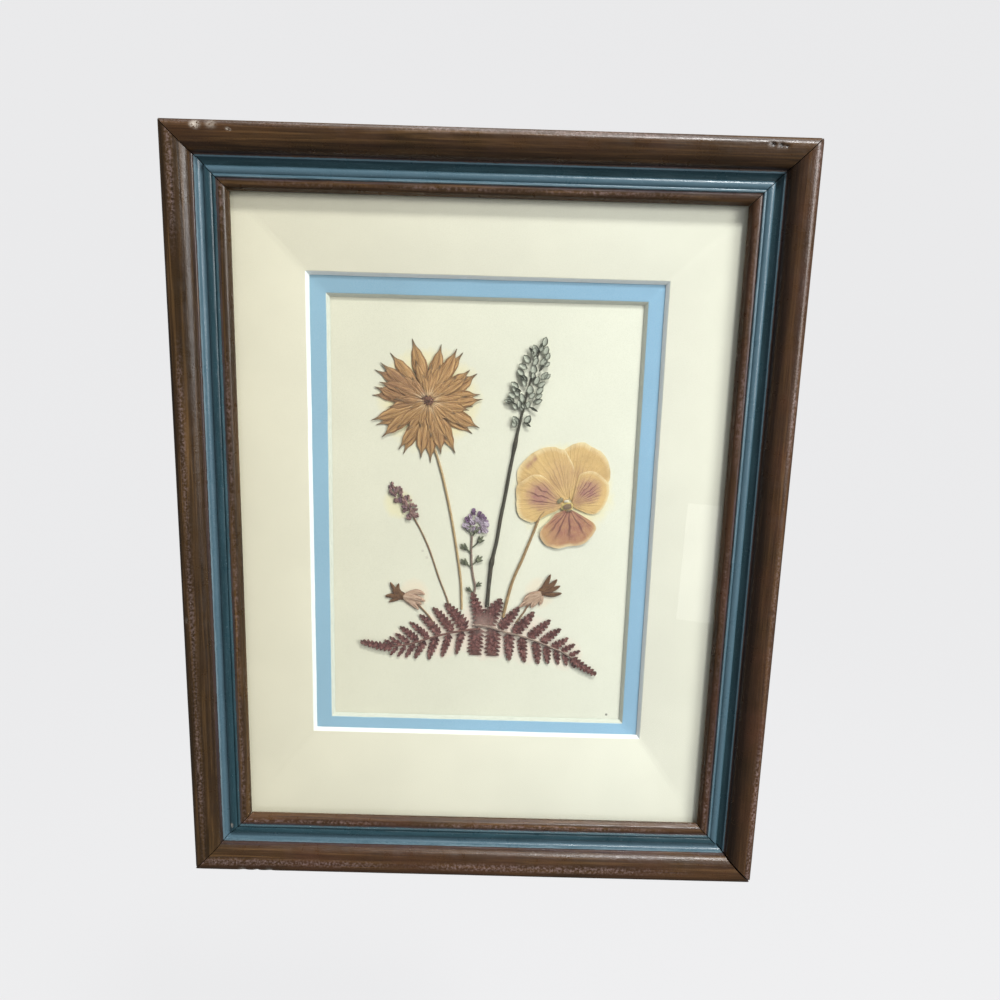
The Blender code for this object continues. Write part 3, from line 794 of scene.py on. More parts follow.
def bract(build, centre, tip, width, bend, base_lift, tip_lift, keel, seed, tone):
    """A papery bract, folded along its keel. Heights above the card and widths are in mm."""
    away = Vector(tip) - Vector(centre)
    base = Vector(centre) + away.normalized() * 1.2
    path = hooked_path(base, tip, bend, 20)

    def half_width(t):
        body = shaped(t, (0, 0.16), (0.3, 0.66), (0.56, 1), (0.74, 0.74), (0.9, 0.16), (1, 0.03))
        ragged = 1 + 0.14 * noise.noise((seed * 7.1, t * 6, 0))
        return width / 2 * body * ragged

    def lift(t, s):
        rise = base_lift + (tip_lift - base_lift) * t**0.7
        fold = keel * (1 - abs(s)) * sin(pi * min(1, t + 0.15))
        pleat = 0.15 * cos(s * 8.5 + seed + 1.5 * t) * (1 - 0.5 * t)
        wrinkle = 0.12 * noise.noise((s * 4.5 + seed, t * 2.2, seed * 3.3)) + pleat
        return max(rise + fold + wrinkle * (1 - 0.6 * t), 0.05)

    add_blade(build, path, half_width, lift, 0.1, tone, 12)


def straw_finish():
    made = Finish("straw_bracts", Specular_IOR_Level=0.3)
    blade, along, across = made.blade()
    tone = made.attribute("tone")
    veins = made.noise(made.stretched(blade, (2.2, 17, 1)), 1, 4, 0.65, 0.4)
    cloth = made.noise(made.place, 260, 4, 0.6)
    tan = made.ramp(
        veins, (0.36, (0.11, 0.048, 0.016)), (0.47, (0.4, 0.21, 0.08)), (0.66, (0.66, 0.42, 0.19))
    )
    tan = made.mix(made.ramp(cloth, (0.35, 0.0), (0.7, 0.55)), tan, (0.32, 0.185, 0.065))
    bruise = made.ramp(tone, (0.62, 0.0), (0.95, 0.75))
    bruise = made.times(bruise, made.ramp(cloth, (0.3, 0.3), (0.6, 1.0)))
    tan = made.mix(bruise, tan, (0.2, 0.09, 0.055))
    keel = made.off(across, 0.5)
    # Painted shade: a dark line in each bract's fold and darker margins where the bracts meet
    tan = made.mix(made.ramp(keel, (0.0, 0.55), (0.05, 0.0)), tan, (0.15, 0.07, 0.025))
    tan = made.mix(made.ramp(keel, (0.36, 0.0), (0.5, 0.8)), tan, (0.13, 0.06, 0.02))
    # Pale streaks near the bracts' feet: paler bases with painted glints on them
    foot = made.times(made.ramp(along, (0.05, 0.0), (0.12, 0.75), (0.4, 0.0)),
                     made.ramp(veins, (0.45, 0.0), (0.6, 1.0)))
    tan = made.mix(foot, tan, (0.74, 0.6, 0.4))
    tan = made.mix(made.ramp(along, (0.8, 0.0), (0.95, 0.9)), tan, (0.14, 0.1, 0.06))
    crease = made.bump(veins, 0.00025, 0.8)
    return made.surface(Base_Color=tan, Roughness=0.72, Normal=crease)


straw = straw_finish()
star_random = Random(11)
star_build = bmesh.new()
for number, tip in enumerate(STAR_TIPS):
    order = (number * 7) % 5
    bend = star_random.uniform(-1.8, 1.8)
    dark = 0.85 if tip[0] < -40 and tip[1] > 54 else star_random.uniform(0, 0.7)
    width = star_random.uniform(5.2, 6.6)
    bract(star_build, STAR_CENTRE, tip, width, bend, 0.7 + 0.14 * order, 0.25 + 0.12 * order,
          0.42, number * 1.7, dark)
for ring, (count, near, far, widths, height) in enumerate(STAR_INNER_RINGS):
    for number in range(count):
        angle = 2 * pi * (number + 0.5 * ring + star_random.uniform(-0.35, 0.35)) / count
        reach = star_random.uniform(near, far)
        tip = (STAR_CENTRE[0] + reach * sin(angle), STAR_CENTRE[1] + reach * cos(angle))
        bend = star_random.uniform(-1, 1)
        dark = 0.8 if sin(angle) < -0.6 and cos(angle) > -0.3 else star_random.uniform(0, 0.65)
        bract(star_build, STAR_CENTRE, tip, star_random.uniform(*widths), bend, height + 0.1 * (number % 4),
              height - 0.35 + 0.1 * (number % 3), 0.4, 60 + 20 * ring + number, dark)
add_plant("star_flower", star_build, straw, "tan_bracts", ("star_flower_head",))


# --- Pieces set out in numbers -------------------------------------------------------------
# Florets, seed cups and small petals repeat, so each kind is one small shape set out on points
# that carry its turn, size and tone. The first is the star flower's tuft of tiny florets.


def set_out_tree(name):
    """Instances of a shape on points, each turned and sized by its point's own values."""
    tree = bpy.data.node_groups.new(name, "GeometryNodeTree")
    for label, kind, value in (
        ("Points", "Geometry", None), ("Shape", "Object", None), ("Finish", "Material", None),
        ("Size", "Float", 1), ("Size Spread", "Float", 0), ("Seed", "Int", 1),
    ):
        socket = tree.interface.new_socket(label, in_out="INPUT", socket_type="NodeSocket" + kind)
        if value is not None:
            socket.default_value = value
    tree.interface.new_socket("Geometry", in_out="OUTPUT", socket_type="NodeSocketGeometry")
    nodes, link = tree.nodes, tree.links.new
    given, out = nodes.new("NodeGroupInput"), nodes.new("NodeGroupOutput")

    def stored(name, kind="FLOAT"):
        named = nodes.new("GeometryNodeInputNamedAttribute")
        named.data_type = kind
        named.inputs["Name"].default_value = name
        return named.outputs["Attribute"]

    shape = nodes.new("GeometryNodeObjectInfo")
    link(given.outputs["Shape"], shape.inputs["Object"])
    place = nodes.new("GeometryNodeInstanceOnPoints")
    link(given.outputs["Points"], place.inputs["Points"])
    link(shape.outputs["Geometry"], place.inputs["Instance"])
    turn = nodes.new("ShaderNodeCombineXYZ")
    link(stored("turn"), turn.inputs["Y"])
    link(stored("tip"), turn.inputs["X"])
    link(turn.outputs[0], place.inputs["Rotation"])
    vary = nodes.new("FunctionNodeRandomValue")
    low, high = nodes.new("ShaderNodeMath"), nodes.new("ShaderNodeMath")
    low.operation, high.operation = "SUBTRACT", "ADD"
    for bound, socket in ((low, "Min"), (high, "Max")):
        link(given.outputs["Size"], bound.inputs[0])
        link(given.outputs["Size Spread"], bound.inputs[1])
        link(bound.outputs[0], next(s for s in vary.inputs if s.name == socket and s.type == "VALUE"))
    link(given.outputs["Seed"], vary.inputs["Seed"])
    stretch = nodes.new("ShaderNodeVectorMath")
    stretch.operation = "SCALE"
    link(stored("stretch", "FLOAT_VECTOR"), stretch.inputs[0])
    link(next(s for s in vary.outputs if s.type == "VALUE"), stretch.inputs["Scale"])
    link(stretch.outputs[0], place.inputs["Scale"])
    real = nodes.new("GeometryNodeRealizeInstances")
    link(place.outputs[0], real.inputs[0])
    finish = nodes.new("GeometryNodeSetMaterial")
    link(real.outputs[0], finish.inputs["Geometry"])
    link(given.outputs["Finish"], finish.inputs["Material"])
    link(finish.outputs[0], out.inputs[0])
    return tree


set_out = set_out_tree("set_out")


def set_out_pieces(name, shape_build, points, finish, slot, stands_for, spread=0.0, seed=1):
    """points are (place in metres, turn and tip in degrees, scales in x, y and z, tone)."""
    shape_mesh = bpy.data.meshes.new(name + "_shape")
    shape_build.to_mesh(shape_mesh)
    shape_build.free()
    shape = bpy.data.objects.new(name + "_shape", shape_mesh)
    scene.collection.objects.link(shape)
    mesh = bpy.data.meshes.new(name)
    mesh.from_pydata([p[0] for p in points], [], [])
    values = {
        "turn": [radians(p[1]) for p in points],
        "tip": [radians(p[2]) for p in points],
        "tone": [p[4] for p in points],
    }
    for key, numbers in values.items():
        mesh.attributes.new(key, "FLOAT", "POINT").data.foreach_set("value", numbers)
    stretch = mesh.attributes.new("stretch", "FLOAT_VECTOR", "POINT")
    stretch.data.foreach_set("vector", [number for p in points for number in p[3]])
    holder = bpy.data.objects.new(name + "_points", mesh)
    scene.collection.objects.link(holder)
    modifier = holder.modifiers.new("set_out", "NODES")
    modifier.node_group = set_out
    sockets = {s.name: s.identifier for s in set_out.interface.items_tree if s.in_out == "INPUT"}
    given = {"Shape": shape, "Finish": finish, "Size": 1.0, "Size Spread": spread, "Seed": seed}
    for socket, value in given.items():
        modifier[sockets[socket]] = value
    bpy.context.view_layer.update()
    evaluated = holder.evaluated_get(bpy.context.evaluated_depsgraph_get())
    made = bpy.data.meshes.new_from_object(evaluated)
    holder.modifiers.remove(modifier)
    bpy.data.objects.remove(holder)
    bpy.data.objects.remove(shape)
    build = bmesh.new()
    build.from_mesh(made)
    bpy.data.meshes.remove(made)
    bmesh.ops.recalc_face_normals(build, faces=build.faces)
    return add_piece(name, build, [finish], slot, stands_for, 60)


def centred_blade(length, half_width, lift, rows=8, columns=6, thickness=0.1):
    """A blade that starts at the origin and runs up Z, for setting out, in metres."""
    build = bmesh.new()
    path = [Vector((0, length * i / rows)) for i in range(rows + 1)]
    add_blade(build, path, half_width, lift, thickness, 0.5, columns)
    for vert in build.verts:
        vert.co -= on_card(0, 0, 0)
    build.verts.layers.float.remove(build.verts.layers.float["tone"])
    return build


GOLDEN_ANGLE = 2.39996  # in radians, as florets spiral in a daisy's disc
DISC_FLORETS = 28
DISC_SPREAD = 0.19  # mm from the centre to the first floret
STRAY_FLORETS = 6  # fallen against the disc's left side
maroon = Finish("maroon_florets", Roughness=0.85, Specular_IOR_Level=0.2)
maroon_grain = maroon.noise(maroon.place, 1800, 3)
maroon.surface(
    Base_Color=maroon.ramp(maroon_grain, (0.35, (0.04, 0.016, 0.014)), (0.65, (0.24, 0.12, 0.07))),
    Normal=maroon.bump(maroon_grain, 0.0001, 0.8),
)
floret_points = []
for number in range(DISC_FLORETS + STRAY_FLORETS):
    angle, out = number * GOLDEN_ANGLE, DISC_SPREAD * number**0.5
    if number >= DISC_FLORETS:
        angle, out = -2.1 + 0.3 * (number - DISC_FLORETS), 1.9
    x, z = STAR_CENTRE[0] + out * sin(angle) * 1.25, STAR_CENTRE[1] + out * cos(angle)
    place = on_card(x, z, 2.35 - 0.25 * out)
    floret_points.append((place, 180 * angle / pi, -25, (1, 1, 1), 0.5))
floret = centred_blade(1.15, lambda t: 0.3 * sin(pi * (0.15 + 0.7 * t)), lambda t, s: 0.1 + 0.15 * t, 3, 2)
set_out_pieces("star_flower_centre", floret, floret_points, maroon.material, "tan_bracts", (), 0.3, 3)


# --- Stems ---------------------------------------------------------------------------------
# Dried stalks pressed a little flat, with fine ridges along them; the thicker ones have a
# node or two.


def stem_finish(name, light, dark, patch):
    made = Finish(name, Specular_IOR_Level=0.3)
    blade = made.blade()[0]
    ridges = made.noise(made.stretched(blade, (40, 9, 1)), 1, 4, 0.6)
    patches = made.noise(made.place, 190, 3)
    colour = made.ramp(ridges, (0.3, dark), (0.68, light))
    colour = made.mix(made.ramp(patches, (0.5, 0.0), (0.72, 0.75)), colour, patch)
    return made.surface(Base_Color=colour, Roughness=0.75, Normal=made.bump(ridges, 0.00012, 0.8))


def stem(name, points, widths, finish, slot, stands_for, seed, lift=0.0, swellings=()):
    """A flattened stalk on the card. widths are at its head and foot, in mm; swellings are
    (share along it, extra width)."""
    path = smooth_path(points, 9)
    build = bmesh.new()
    blade, tone_layer = plant_layers(build)
    rings = []
    last = len(path) - 1
    sides = 10
    for i, point in enumerate(path):
        t = i / last
        ahead = path[min(i + 1, last)] - path[max(i - 1, 0)]
        across = Vector((-ahead.y, ahead.x)).normalized()
        half = (widths[0] + (widths[1] - widths[0]) * t) / 2
        half *= 1 + 0.12 * noise.noise((i * 0.33, seed, 0))
        half += sum(extra * exp(-(((t - where) * 40) ** 2)) for where, extra in swellings)
        drift = 0.12 * noise.noise((i * 0.16, seed, 5))
        ring = []
        for j in range(sides):
            a = 2 * pi * j / sides
            side = point + across * (half * cos(a) + drift)
            ridge = 1 + 0.1 * sin(3 * a + seed)
            vert = build.verts.new(on_card(side.x, side.y, 0.03 + lift + half * 0.7 * (1 + sin(a) * ridge)))
            vert[tone_layer] = t
            ring.append(vert)
        rings.append(ring)
    for i, (ring, following) in enumerate(zip(rings, rings[1:])):
        for j in range(sides):
            k = (j + 1) % sides
            face = build.faces.new((ring[j], ring[k], following[k], following[j]))
            for loop, (row, column) in zip(face.loops, ((i, j), (i, j + 1), (i + 1, j + 1), (i + 1, j))):
                loop[blade].uv = (row / last, column / sides)
    build.faces.new(rings[0][::-1])
    build.faces.new(rings[-1])
    return add_plant(name, build, finish, slot, stands_for)


straw_stem = stem_finish("straw_stem", (0.52, 0.38, 0.2), (0.24, 0.155, 0.07), (0.36, 0.24, 0.11))
wiry_stem = stem_finish("wiry_stem", (0.3, 0.2, 0.11), (0.13, 0.075, 0.035), (0.2, 0.09, 0.06))
green_stem = stem_finish(
    "grey_green_stem", (0.056, 0.052, 0.03), (0.015, 0.014, 0.008), (0.045, 0.034, 0.018)
)
pansy_green = stem_finish("olive_stem", (0.42, 0.28, 0.13), (0.15, 0.095, 0.042), (0.32, 0.2, 0.09))
maroon_rib = stem_finish("maroon_rib", (0.2, 0.09, 0.065), (0.06, 0.025, 0.02), (0.12, 0.05, 0.035))
mauve_stem = stem_finish("mauve_stem", (0.3, 0.22, 0.17), (0.12, 0.075, 0.06), (0.13, 0.14, 0.08))
stem("star_stem", [(-20.6, 34), (-17.3, 23), (-13.3, 5.5), (-10, -13.5), (-8.5, -25.5), (-8, -36.5)],
     (1.0, 1.0), straw_stem, "tan_stem", ("star_flower_stem",), 1)
stem("lavender_stalk", [(14.3, 44), (11.7, 28), (9, 11.3), (6.6, -4.5), (4.4, -16.7), (3.1, -35)],
     (1.35, 1.7), green_stem, "olive_stem", ("lavender_stem",), 2, 0.0, ((0.1, 0.25), (0.77, 0.4)))
stem("pansy_stalk", [(26.5, 8.5), (24.5, 5.5), (20.9, -4.5), (17.6, -13.6), (13.7, -23.6), (10.2, -39.5)],
     (1.1, 1.4), pansy_green, "olive_stem", ("pansy_stem",), 3)
stem("small_spike_stalk", [(-28.6, 3), (-23.1, -8), (-18.1, -22.5), (-14.1, -33), (-13, -38)],
     (0.65, 0.7), wiry_stem, "tan_stem", ("small_spike_stem",), 4)
stem("blue_flower_stalk",
     [(-4.2, -3), (-4.3, -9.2), (-4.1, -15.4), (-3.2, -21.7), (-2.3, -26), (-3.1, -30.5)],
     (0.9, 1.05), mauve_stem, "olive_stem", ("blue_flower_stem",), 5)
stem("left_bud_stalk", [(-31, -32), (-29.8, -33), (-25.7, -36.3), (-22, -40.5), (-20, -44)],
     (0.8, 0.75), wiry_stem, "tan_stem", ("bud_left_stem",), 6)
stem("right_bud_stalk", [(22, -33), (20.7, -34.6), (18.7, -38), (16, -42)],
     (0.8, 0.75), wiry_stem, "tan_stem", ("bud_right_stem",), 7)


# --- Lavender ------------------------------------------------------------------------------
# A dried spike: grey-green ribbed seed cups, each open like a little boat with a pale inside,
# with darker pointed bracts between them.

# Cups: place in mm, turn in degrees from upright, length and width scales
LAVENDER_CUPS = (
    (23.5, 78.3, 14, 1.0, 0.9), (21, 75.4, -24, 0.95, 1.0), (23.9, 74.8, 20, 0.95, 0.9),
    (18.2, 71.5, -38, 1.0, 0.95), (22.6, 70.4, 34, 1.05, 0.95), (20.4, 71, 4, 0.9, 0.9),
    (16, 66.2, -46, 0.95, 0.9), (20, 66.8, -4, 1.0, 1.0), (23, 65, 42, 1.0, 0.9),
    (20.5, 62.6, 22, 0.95, 0.9), (16.8, 63.2, -30, 0.95, 0.9), (13.8, 61.2, -52, 0.95, 0.9),
    (14.4, 57.8, -40, 0.95, 0.95), (18.4, 58.6, 6, 0.95, 1.1), (21.3, 59, 44, 0.95, 0.9),
    (12.2, 55.4, -62, 0.95, 0.9), (16, 55.2, -14, 1.0, 0.95), (20, 55.4, 72, 1.0, 0.85),
    (17.3, 52.6, 20, 0.85, 0.8), (13.6, 52.2, -34, 0.9, 0.8), (14.2, 46.4, -38, 0.95, 1.0),
    (17, 46.4, 30, 0.95, 1.0),
)
LAVENDER_BRACTS = (
    (19.6, 74.5, -35, 0.8, 0.7), (22, 67.6, 30, 0.8, 0.7), (16.2, 64, -50, 0.85, 0.7),
    (12.8, 54, -75, 0.85, 0.7), (18.6, 53, 118, 1.0, 0.7), (16.6, 46.6, 124, 0.8, 0.6),
    (19, 63.4, 40, 0.7, 0.6), (15, 59.2, -60, 0.7, 0.6), (21.8, 76.8, 25, 0.7, 0.6),
)


def seed_cup_finish():
    made = Finish("lavender_cups", Specular_IOR_Level=0.25)
    blade, along, across = made.blade()
    edge = made.off(across, 0.5)
    ribs = made.noise(made.stretched(blade, (1.5, 16, 1)), 1, 3)
    down = made.noise(made.place, 1500, 3, 0.6)
    pale = made.ramp(ribs, (0.3, (0.24, 0.26, 0.2)), (0.6, (0.55, 0.57, 0.47)))
    rim = made.ramp(edge, (0.29, 0.0), (0.4, 1.0))
    colour = made.mix(made.times(rim, 0.92), pale, (0.045, 0.05, 0.034))
    ends = made.ramp(along, (0.0, 1.0), (0.18, 0.35), (0.3, 0.0), (0.86, 0.0), (0.97, 0.9))
    colour = made.mix(ends, colour, (0.05, 0.055, 0.035))
    dark = made.ramp(made.attribute("tone"), (0.6, 0.0), (0.9, 1.0))
    colour = made.mix(dark, colour, (0.055, 0.058, 0.04))
    colour = made.mix(made.ramp(down, (0.5, 0.0), (0.72, 0.45)), colour, (0.13, 0.14, 0.1))
    return made.surface(Base_Color=colour, Roughness=0.85, Normal=made.bump(down, 0.0001, 0.7))


def cup_half(t):
    return 1.45 * shaped(t, (0, 0.3), (0.4, 1), (0.75, 0.8), (1, 0.08))


def cup_lift(t, s):
    return 0.35 + 0.75 * abs(s) ** 1.6 * sin(pi * (0.1 + 0.8 * t)) + 0.25 * t


lavender_random = Random(4)
lavender_points = []
for number, (x, z, turn, length, width) in enumerate(LAVENDER_CUPS):
    lift = 0.15 + 0.16 * (number % 3)
    tone = (number * 0.37) % 0.5
    lavender_points.append((on_card(x, z - 0.6, lift), turn, 0, (width, 0.8, length), tone))
    x += lavender_random.uniform(-1.7, 1.7)
    z += lavender_random.uniform(-2.6, 0.6)
    turn += lavender_random.uniform(-40, 40)
    size = lavender_random.uniform(0.7, 0.95)
    lavender_points.append((on_card(x, z - 0.6, lift + 0.2), turn, 0, (width * size, 0.8, size), tone))
for number, (x, z, turn, length, width) in enumerate(LAVENDER_BRACTS):
    lavender_points.append((on_card(x, z, 0.7), turn, 0, (width * 0.6, 0.7, length), 1.0))
cup = centred_blade(4.2, cup_half, cup_lift, 8, 8)
set_out_pieces("lavender_cups", cup, lavender_points, seed_cup_finish(), "grey_lavender",
               ("lavender_spike",), 0.06, 5)
stem("lavender_core", [(14.3, 43), (16.5, 54), (19, 65), (22.5, 78)], (1.2, 0.6), green_stem,
     "grey_lavender", (), 8, 0.1)


# --- Pansy ---------------------------------------------------------------------------------
# Five thin petals pressed over each other, faded to ochre with a purple blotch and dark veins
# that fan out from the eye; the lower petal has kept more of its purple.

PANSY_PETALS = {
    # layer, foot, outline from one side of the foot round to the other, in mm
    "upper_right": (0, (37.5, 13), [(37, 20), (34, 30), (34, 35), (36.5, 37), (39.5, 38.5),
                    (42.5, 38.5), (46.5, 36.5), (50, 34.5), (52.5, 31.5), (53.5, 28.5), (54, 25.5),
                    (53.5, 22), (50, 18), (44, 14)]),
    "upper_left": (1, (36.5, 13), [(30, 13.5), (18, 16.5), (14.5, 21.5), (15, 27), (19, 32),
                   (24, 35.5), (29, 36.5), (32.5, 35.5), (34.5, 35), (36, 32.5), (38, 29),
                   (38.5, 25.5), (38, 21.5), (37.5, 17)]),
    "side_right": (2, (38, 11.5), [(39, 16), (40.5, 24), (43, 26), (46, 26.5), (49, 25.5), (52, 23),
                   (53.5, 21), (54, 18), (53.5, 15.5), (52.5, 12.5), (51, 10), (48.5, 8), (45.5, 8),
                   (42.5, 9), (40, 10)]),
    "side_left": (3, (35.5, 11.8), [(33.5, 14), (31.5, 17.5), (26.5, 23), (23, 24.5), (19.5, 23.5),
                  (14.5, 19.5), (14.5, 13.5), (14.5, 11), (15, 8), (16.5, 5.5), (19.5, 4), (21.5, 3.5),
                  (23.5, 4.5), (25.5, 6), (27.5, 7), (31, 8.5)]),
    "lower": (4, (37, 10.3), [(31, 7.5), (28.5, 4), (26, 1.5), (25, -1), (25.5, -3.5), (27.5, -6),
              (29.5, -7), (33.5, -7.5), (38, -6.5), (43.5, -5.5), (46.5, -3), (48.5, 0), (49, 2),
              (48, 4), (45, 6), (42, 7.5), (40, 8.5)]),
}
# Where the purple has soaked in: centre, radius and strength
PANSY_BLOTCHES = {
    "upper_right": (((41, 23), 4, 0.2),),
    "upper_left": (((34.5, 24), 6, 0.25), ((19.3, 28.5), 1.0, 0.8), ((21.6, 31), 0.9, 0.8)),
    "side_right": (((45.2, 18), 3.9, 1.0), ((41.5, 14.5), 2.5, 0.6)),
    "side_left": (((24.5, 15.6), 4.4, 1.0), ((29.5, 13), 3, 0.6)),
    "lower": (((37.5, 3.2), 8.2, 1.0),),
}


def petal_finish(name, fresh, faded, purple, vein_count):
    made = Finish(name, Specular_IOR_Level=0.3)
    blade, along, across = made.blade()
    cloud = made.noise(made.place, 130, 4, 0.6)
    crinkle = made.noise(made.stretched(blade, (3, 30, 1)), 1, 4, 0.6)
    colour = made.ramp(cloud, (0.3, faded), (0.65, fresh))
    blotch = made.attribute("blotch")
    mottle = made.ramp(made.noise(made.place, 420, 4, 0.6), (0.3, 0.55), (0.62, 1.0))
    colour = made.mix(made.times(made.times(blotch, mottle), 0.9), colour, purple)
    wander = made.times(made.math("SUBTRACT", made.noise(blade, 5, 2), 0.5), 0.05)
    lines = made.math("FRACT", made.times(made.plus(across, wander), vein_count))
    lines = made.ramp(made.off(lines, 0.5), (0.0, 1.0), (0.2, 0.0))
    reach = made.ramp(along, (0.05, 1.0), (0.6, 0.8), (0.92, 0.0))
    depth = made.times(made.times(lines, reach), made.plus(blotch, 0.12), True)
    colour = made.mix(depth, colour, (0.12, 0.04, 0.04))
    rim = made.ramp(along, (0.9, 0.0), (0.99, 0.8))
    rim = made.times(rim, made.ramp(cloud, (0.35, 0.3), (0.6, 1.0)))
    colour = made.mix(rim, colour, (0.82, 0.7, 0.42))
    relief = made.plus(crinkle, made.times(lines, 0.35))
    return made.surface(Base_Color=colour, Roughness=0.62, Normal=made.bump(relief, 0.00022, 0.7))


ochre_petal = petal_finish("ochre_petal", (0.68, 0.46, 0.19), (0.53, 0.34, 0.14), (0.34, 0.15, 0.14), 19)
rose_petal = petal_finish("rose_petal", (0.6, 0.38, 0.16), (0.48, 0.26, 0.12), (0.33, 0.135, 0.1), 9)


def petal(word, layer, foot, outline, finish, slot, seed):
    """A pansy petal: rows of points that spread from its foot out to its outline."""
    rim = smooth_path(outline, 4)
    base = Vector(foot)
    steps = 26
    build = bmesh.new()
    rows = []
    for i in range(steps + 1):
        v = 0.03 + 0.97 * i / steps
        row = []
        for j, edge in enumerate(rim):
            s = j / (len(rim) - 1)
            frill = 1 + 0.012 * noise.noise((s * 22, seed, 2)) * v
            place = base + (edge - base) * v * frill
            bow = 0.08 * sin(pi * v) + 0.10 * v * noise.noise((place.x * 0.22, place.y * 0.22, seed))
            pleat = 0.05 * sin(s * 42 + seed) * (1 - v) + 0.03 * noise.noise((s * 30, v * 4, seed))
            row.append((place.x, place.y, 0.22 + 0.15 * layer + bow + pleat))
        rows.append(row)
    add_sheet(build, rows, 0.1, 0.5)
    blotch = build.verts.layers.float.new("blotch")
    for vert in build.verts:
        x, z = vert.co.x / MM, (vert.co.z - centre_z) / MM
        amount = 0.0
        for (spot_x, spot_z), radius, strength in PANSY_BLOTCHES[word]:
            far = hypot(x - spot_x, z - spot_z) / radius
            far += 0.25 * noise.noise((x * 0.6, z * 0.6, seed))
            amount = max(amount, strength * max(0.0, min(1.0, 1.7 - far)))
        vert[blotch] = min(amount, 1.0)
    return add_plant(f"pansy_{word}", build, finish, slot, (f"pansy_petal_{word}",))


for seed, (word, (layer, foot, outline)) in enumerate(PANSY_PETALS.items()):
    is_lower = word == "lower"
    petal(word, layer, foot, outline, rose_petal if is_lower else ochre_petal,
          "purple_petal" if is_lower else "ochre_petals", seed * 3.7)

eye = Finish("pansy_eye", Roughness=0.8)
eye_grain = eye.noise(eye.place, 900, 3)
eye_tone = eye.attribute("tone")
eye_colour = eye.ramp(eye_grain, (0.35, (0.42, 0.3, 0.08)), (0.6, (0.62, 0.5, 0.2)))
eye_colour = eye.mix(eye.ramp(eye_tone, (0.3, 0.0), (0.4, 0.9)), eye_colour, (0.19, 0.17, 0.1))
eye_colour = eye.mix(eye.ramp(eye_tone, (0.52, 0.0), (0.56, 0.95)), eye_colour, (0.7, 0.64, 0.5))
eye_colour = eye.mix(eye.ramp(eye_tone, (0.68, 0.0), (0.74, 0.9)), eye_colour, (0.12, 0.06, 0.02))
eye.surface(
    Base_Color=eye.mix(eye.ramp(eye_grain, (0.55, 0.0), (0.7, 0.5)), eye_colour, (0.1, 0.06, 0.02)),
    Normal=eye.bump(eye_grain, 0.0001, 0.8),
)
eye_build = bmesh.new()
for base, tip, half, lift, tone in (
    ((33.8, 10.8), (38.6, 11.2), 1.7, 0.95, 0.0),
    ((34.6, 10.6), (38, 11.4), 1.15, 1.3, 1.0),
    ((32.0, 12.6), (34.2, 14.4), 0.9, 1.05, 0.45),
    ((34.8, 13.2), (36.6, 13.6), 0.5, 1.25, 0.6),
    ((36, 9), (38.4, 9.4), 0.5, 1.3, 0.75),
):
    add_blade(
        eye_build, smooth_path([base, tip], 8),
        lambda t, half=half: half * sin(pi * (0.12 + 0.76 * t)) ** 0.6,
        lambda t, s, lift=lift: lift + 0.2 * (1 - s * s) * sin(pi * (0.1 + 0.8 * t)), 0.25, tone,
    )
add_plant("pansy_eye", eye_build, eye.material, "yellow_eye", ("pansy_centre",))


# --- Small purple spike --------------------------------------------------------------------
# The end of a thin spike, with crumpled purple-brown florets crowded on its upper side.

SPIKE_FLORETS = (
    (-38.4, 17.4, -38, 1.15), (-36.4, 17.2, 20, 0.9), (-37.6, 14.7, -70, 0.9), (-34.6, 14.4, 10, 1.1),
    (-35, 11.8, -60, 1.0), (-32.2, 12.4, 30, 0.8), (-30.3, 10.9, 60, 0.9), (-32.4, 10, -30, 1.15),
    (-31.8, 7.8, -80, 0.9), (-29.4, 7.2, 70, 1.0), (-30.8, 5.2, -60, 0.95), (-28.8, 4.8, 60, 0.8),
    (-33.6, 12.6, -10, 1.0), (-30.8, 8.6, 0, 1.0), (-29.8, 5.8, -10, 0.9), (-36.6, 15.6, -20, 1.0),
)
crumpled = Finish("purple_florets", Roughness=0.85, Specular_IOR_Level=0.2)
crumple = crumpled.noise(crumpled.place, 700, 4, 0.65)
purple_brown = crumpled.ramp(
    crumple, (0.3, (0.07, 0.035, 0.035)), (0.52, (0.22, 0.125, 0.11)), (0.72, (0.44, 0.3, 0.25))
)
tinge = crumpled.ramp(crumpled.attribute("tone"), (0.5, 0.0), (1.0, 0.6))
crumpled.surface(
    Base_Color=crumpled.mix(tinge, purple_brown, (0.15, 0.085, 0.13)),
    Normal=crumpled.bump(crumple, 0.0003, 0.9),
)
spike_random = Random(21)
spike_points = []
for number, (x, z, turn, size) in enumerate(SPIKE_FLORETS):
    for _ in range(3):
        beside = x + spike_random.uniform(-0.9, 0.9)
        below = z - spike_random.uniform(0.2, 1.6)
        lean = turn + spike_random.uniform(-45, 45)
        slim = size * spike_random.uniform(0.5, 1.0)
        long = size * spike_random.uniform(0.7, 1.1)
        place = on_card(beside, below, 0.1 + 0.15 * (number % 4))
        spike_points.append((place, lean, 0, (slim, 1, long), spike_random.random()))
spike_floret = centred_blade(
    2.6,
    lambda t: 0.85 * sin(pi * (0.1 + 0.85 * t)) ** 0.9 * (1 + 0.4 * sin(11 * t)),
    lambda t, s: 0.35 + 0.3 * (1 - s * s) + 0.12 * sin(7 * s + 5 * t),
    8, 6,
)
set_out_pieces("small_spike", spike_floret, spike_points, crumpled.material, "purple_spike",
               ("small_spike_head",), 0.15, 8)
stem("small_spike_core", [(-38.2, 18), (-33, 11), (-28.6, 3)], (0.5, 0.7), wiry_stem, "purple_spike", (), 9)


# --- Blue flower ---------------------------------------------------------------------------
# A knot of tiny lilac flowers; green three-toothed seed cups stand along its stem.

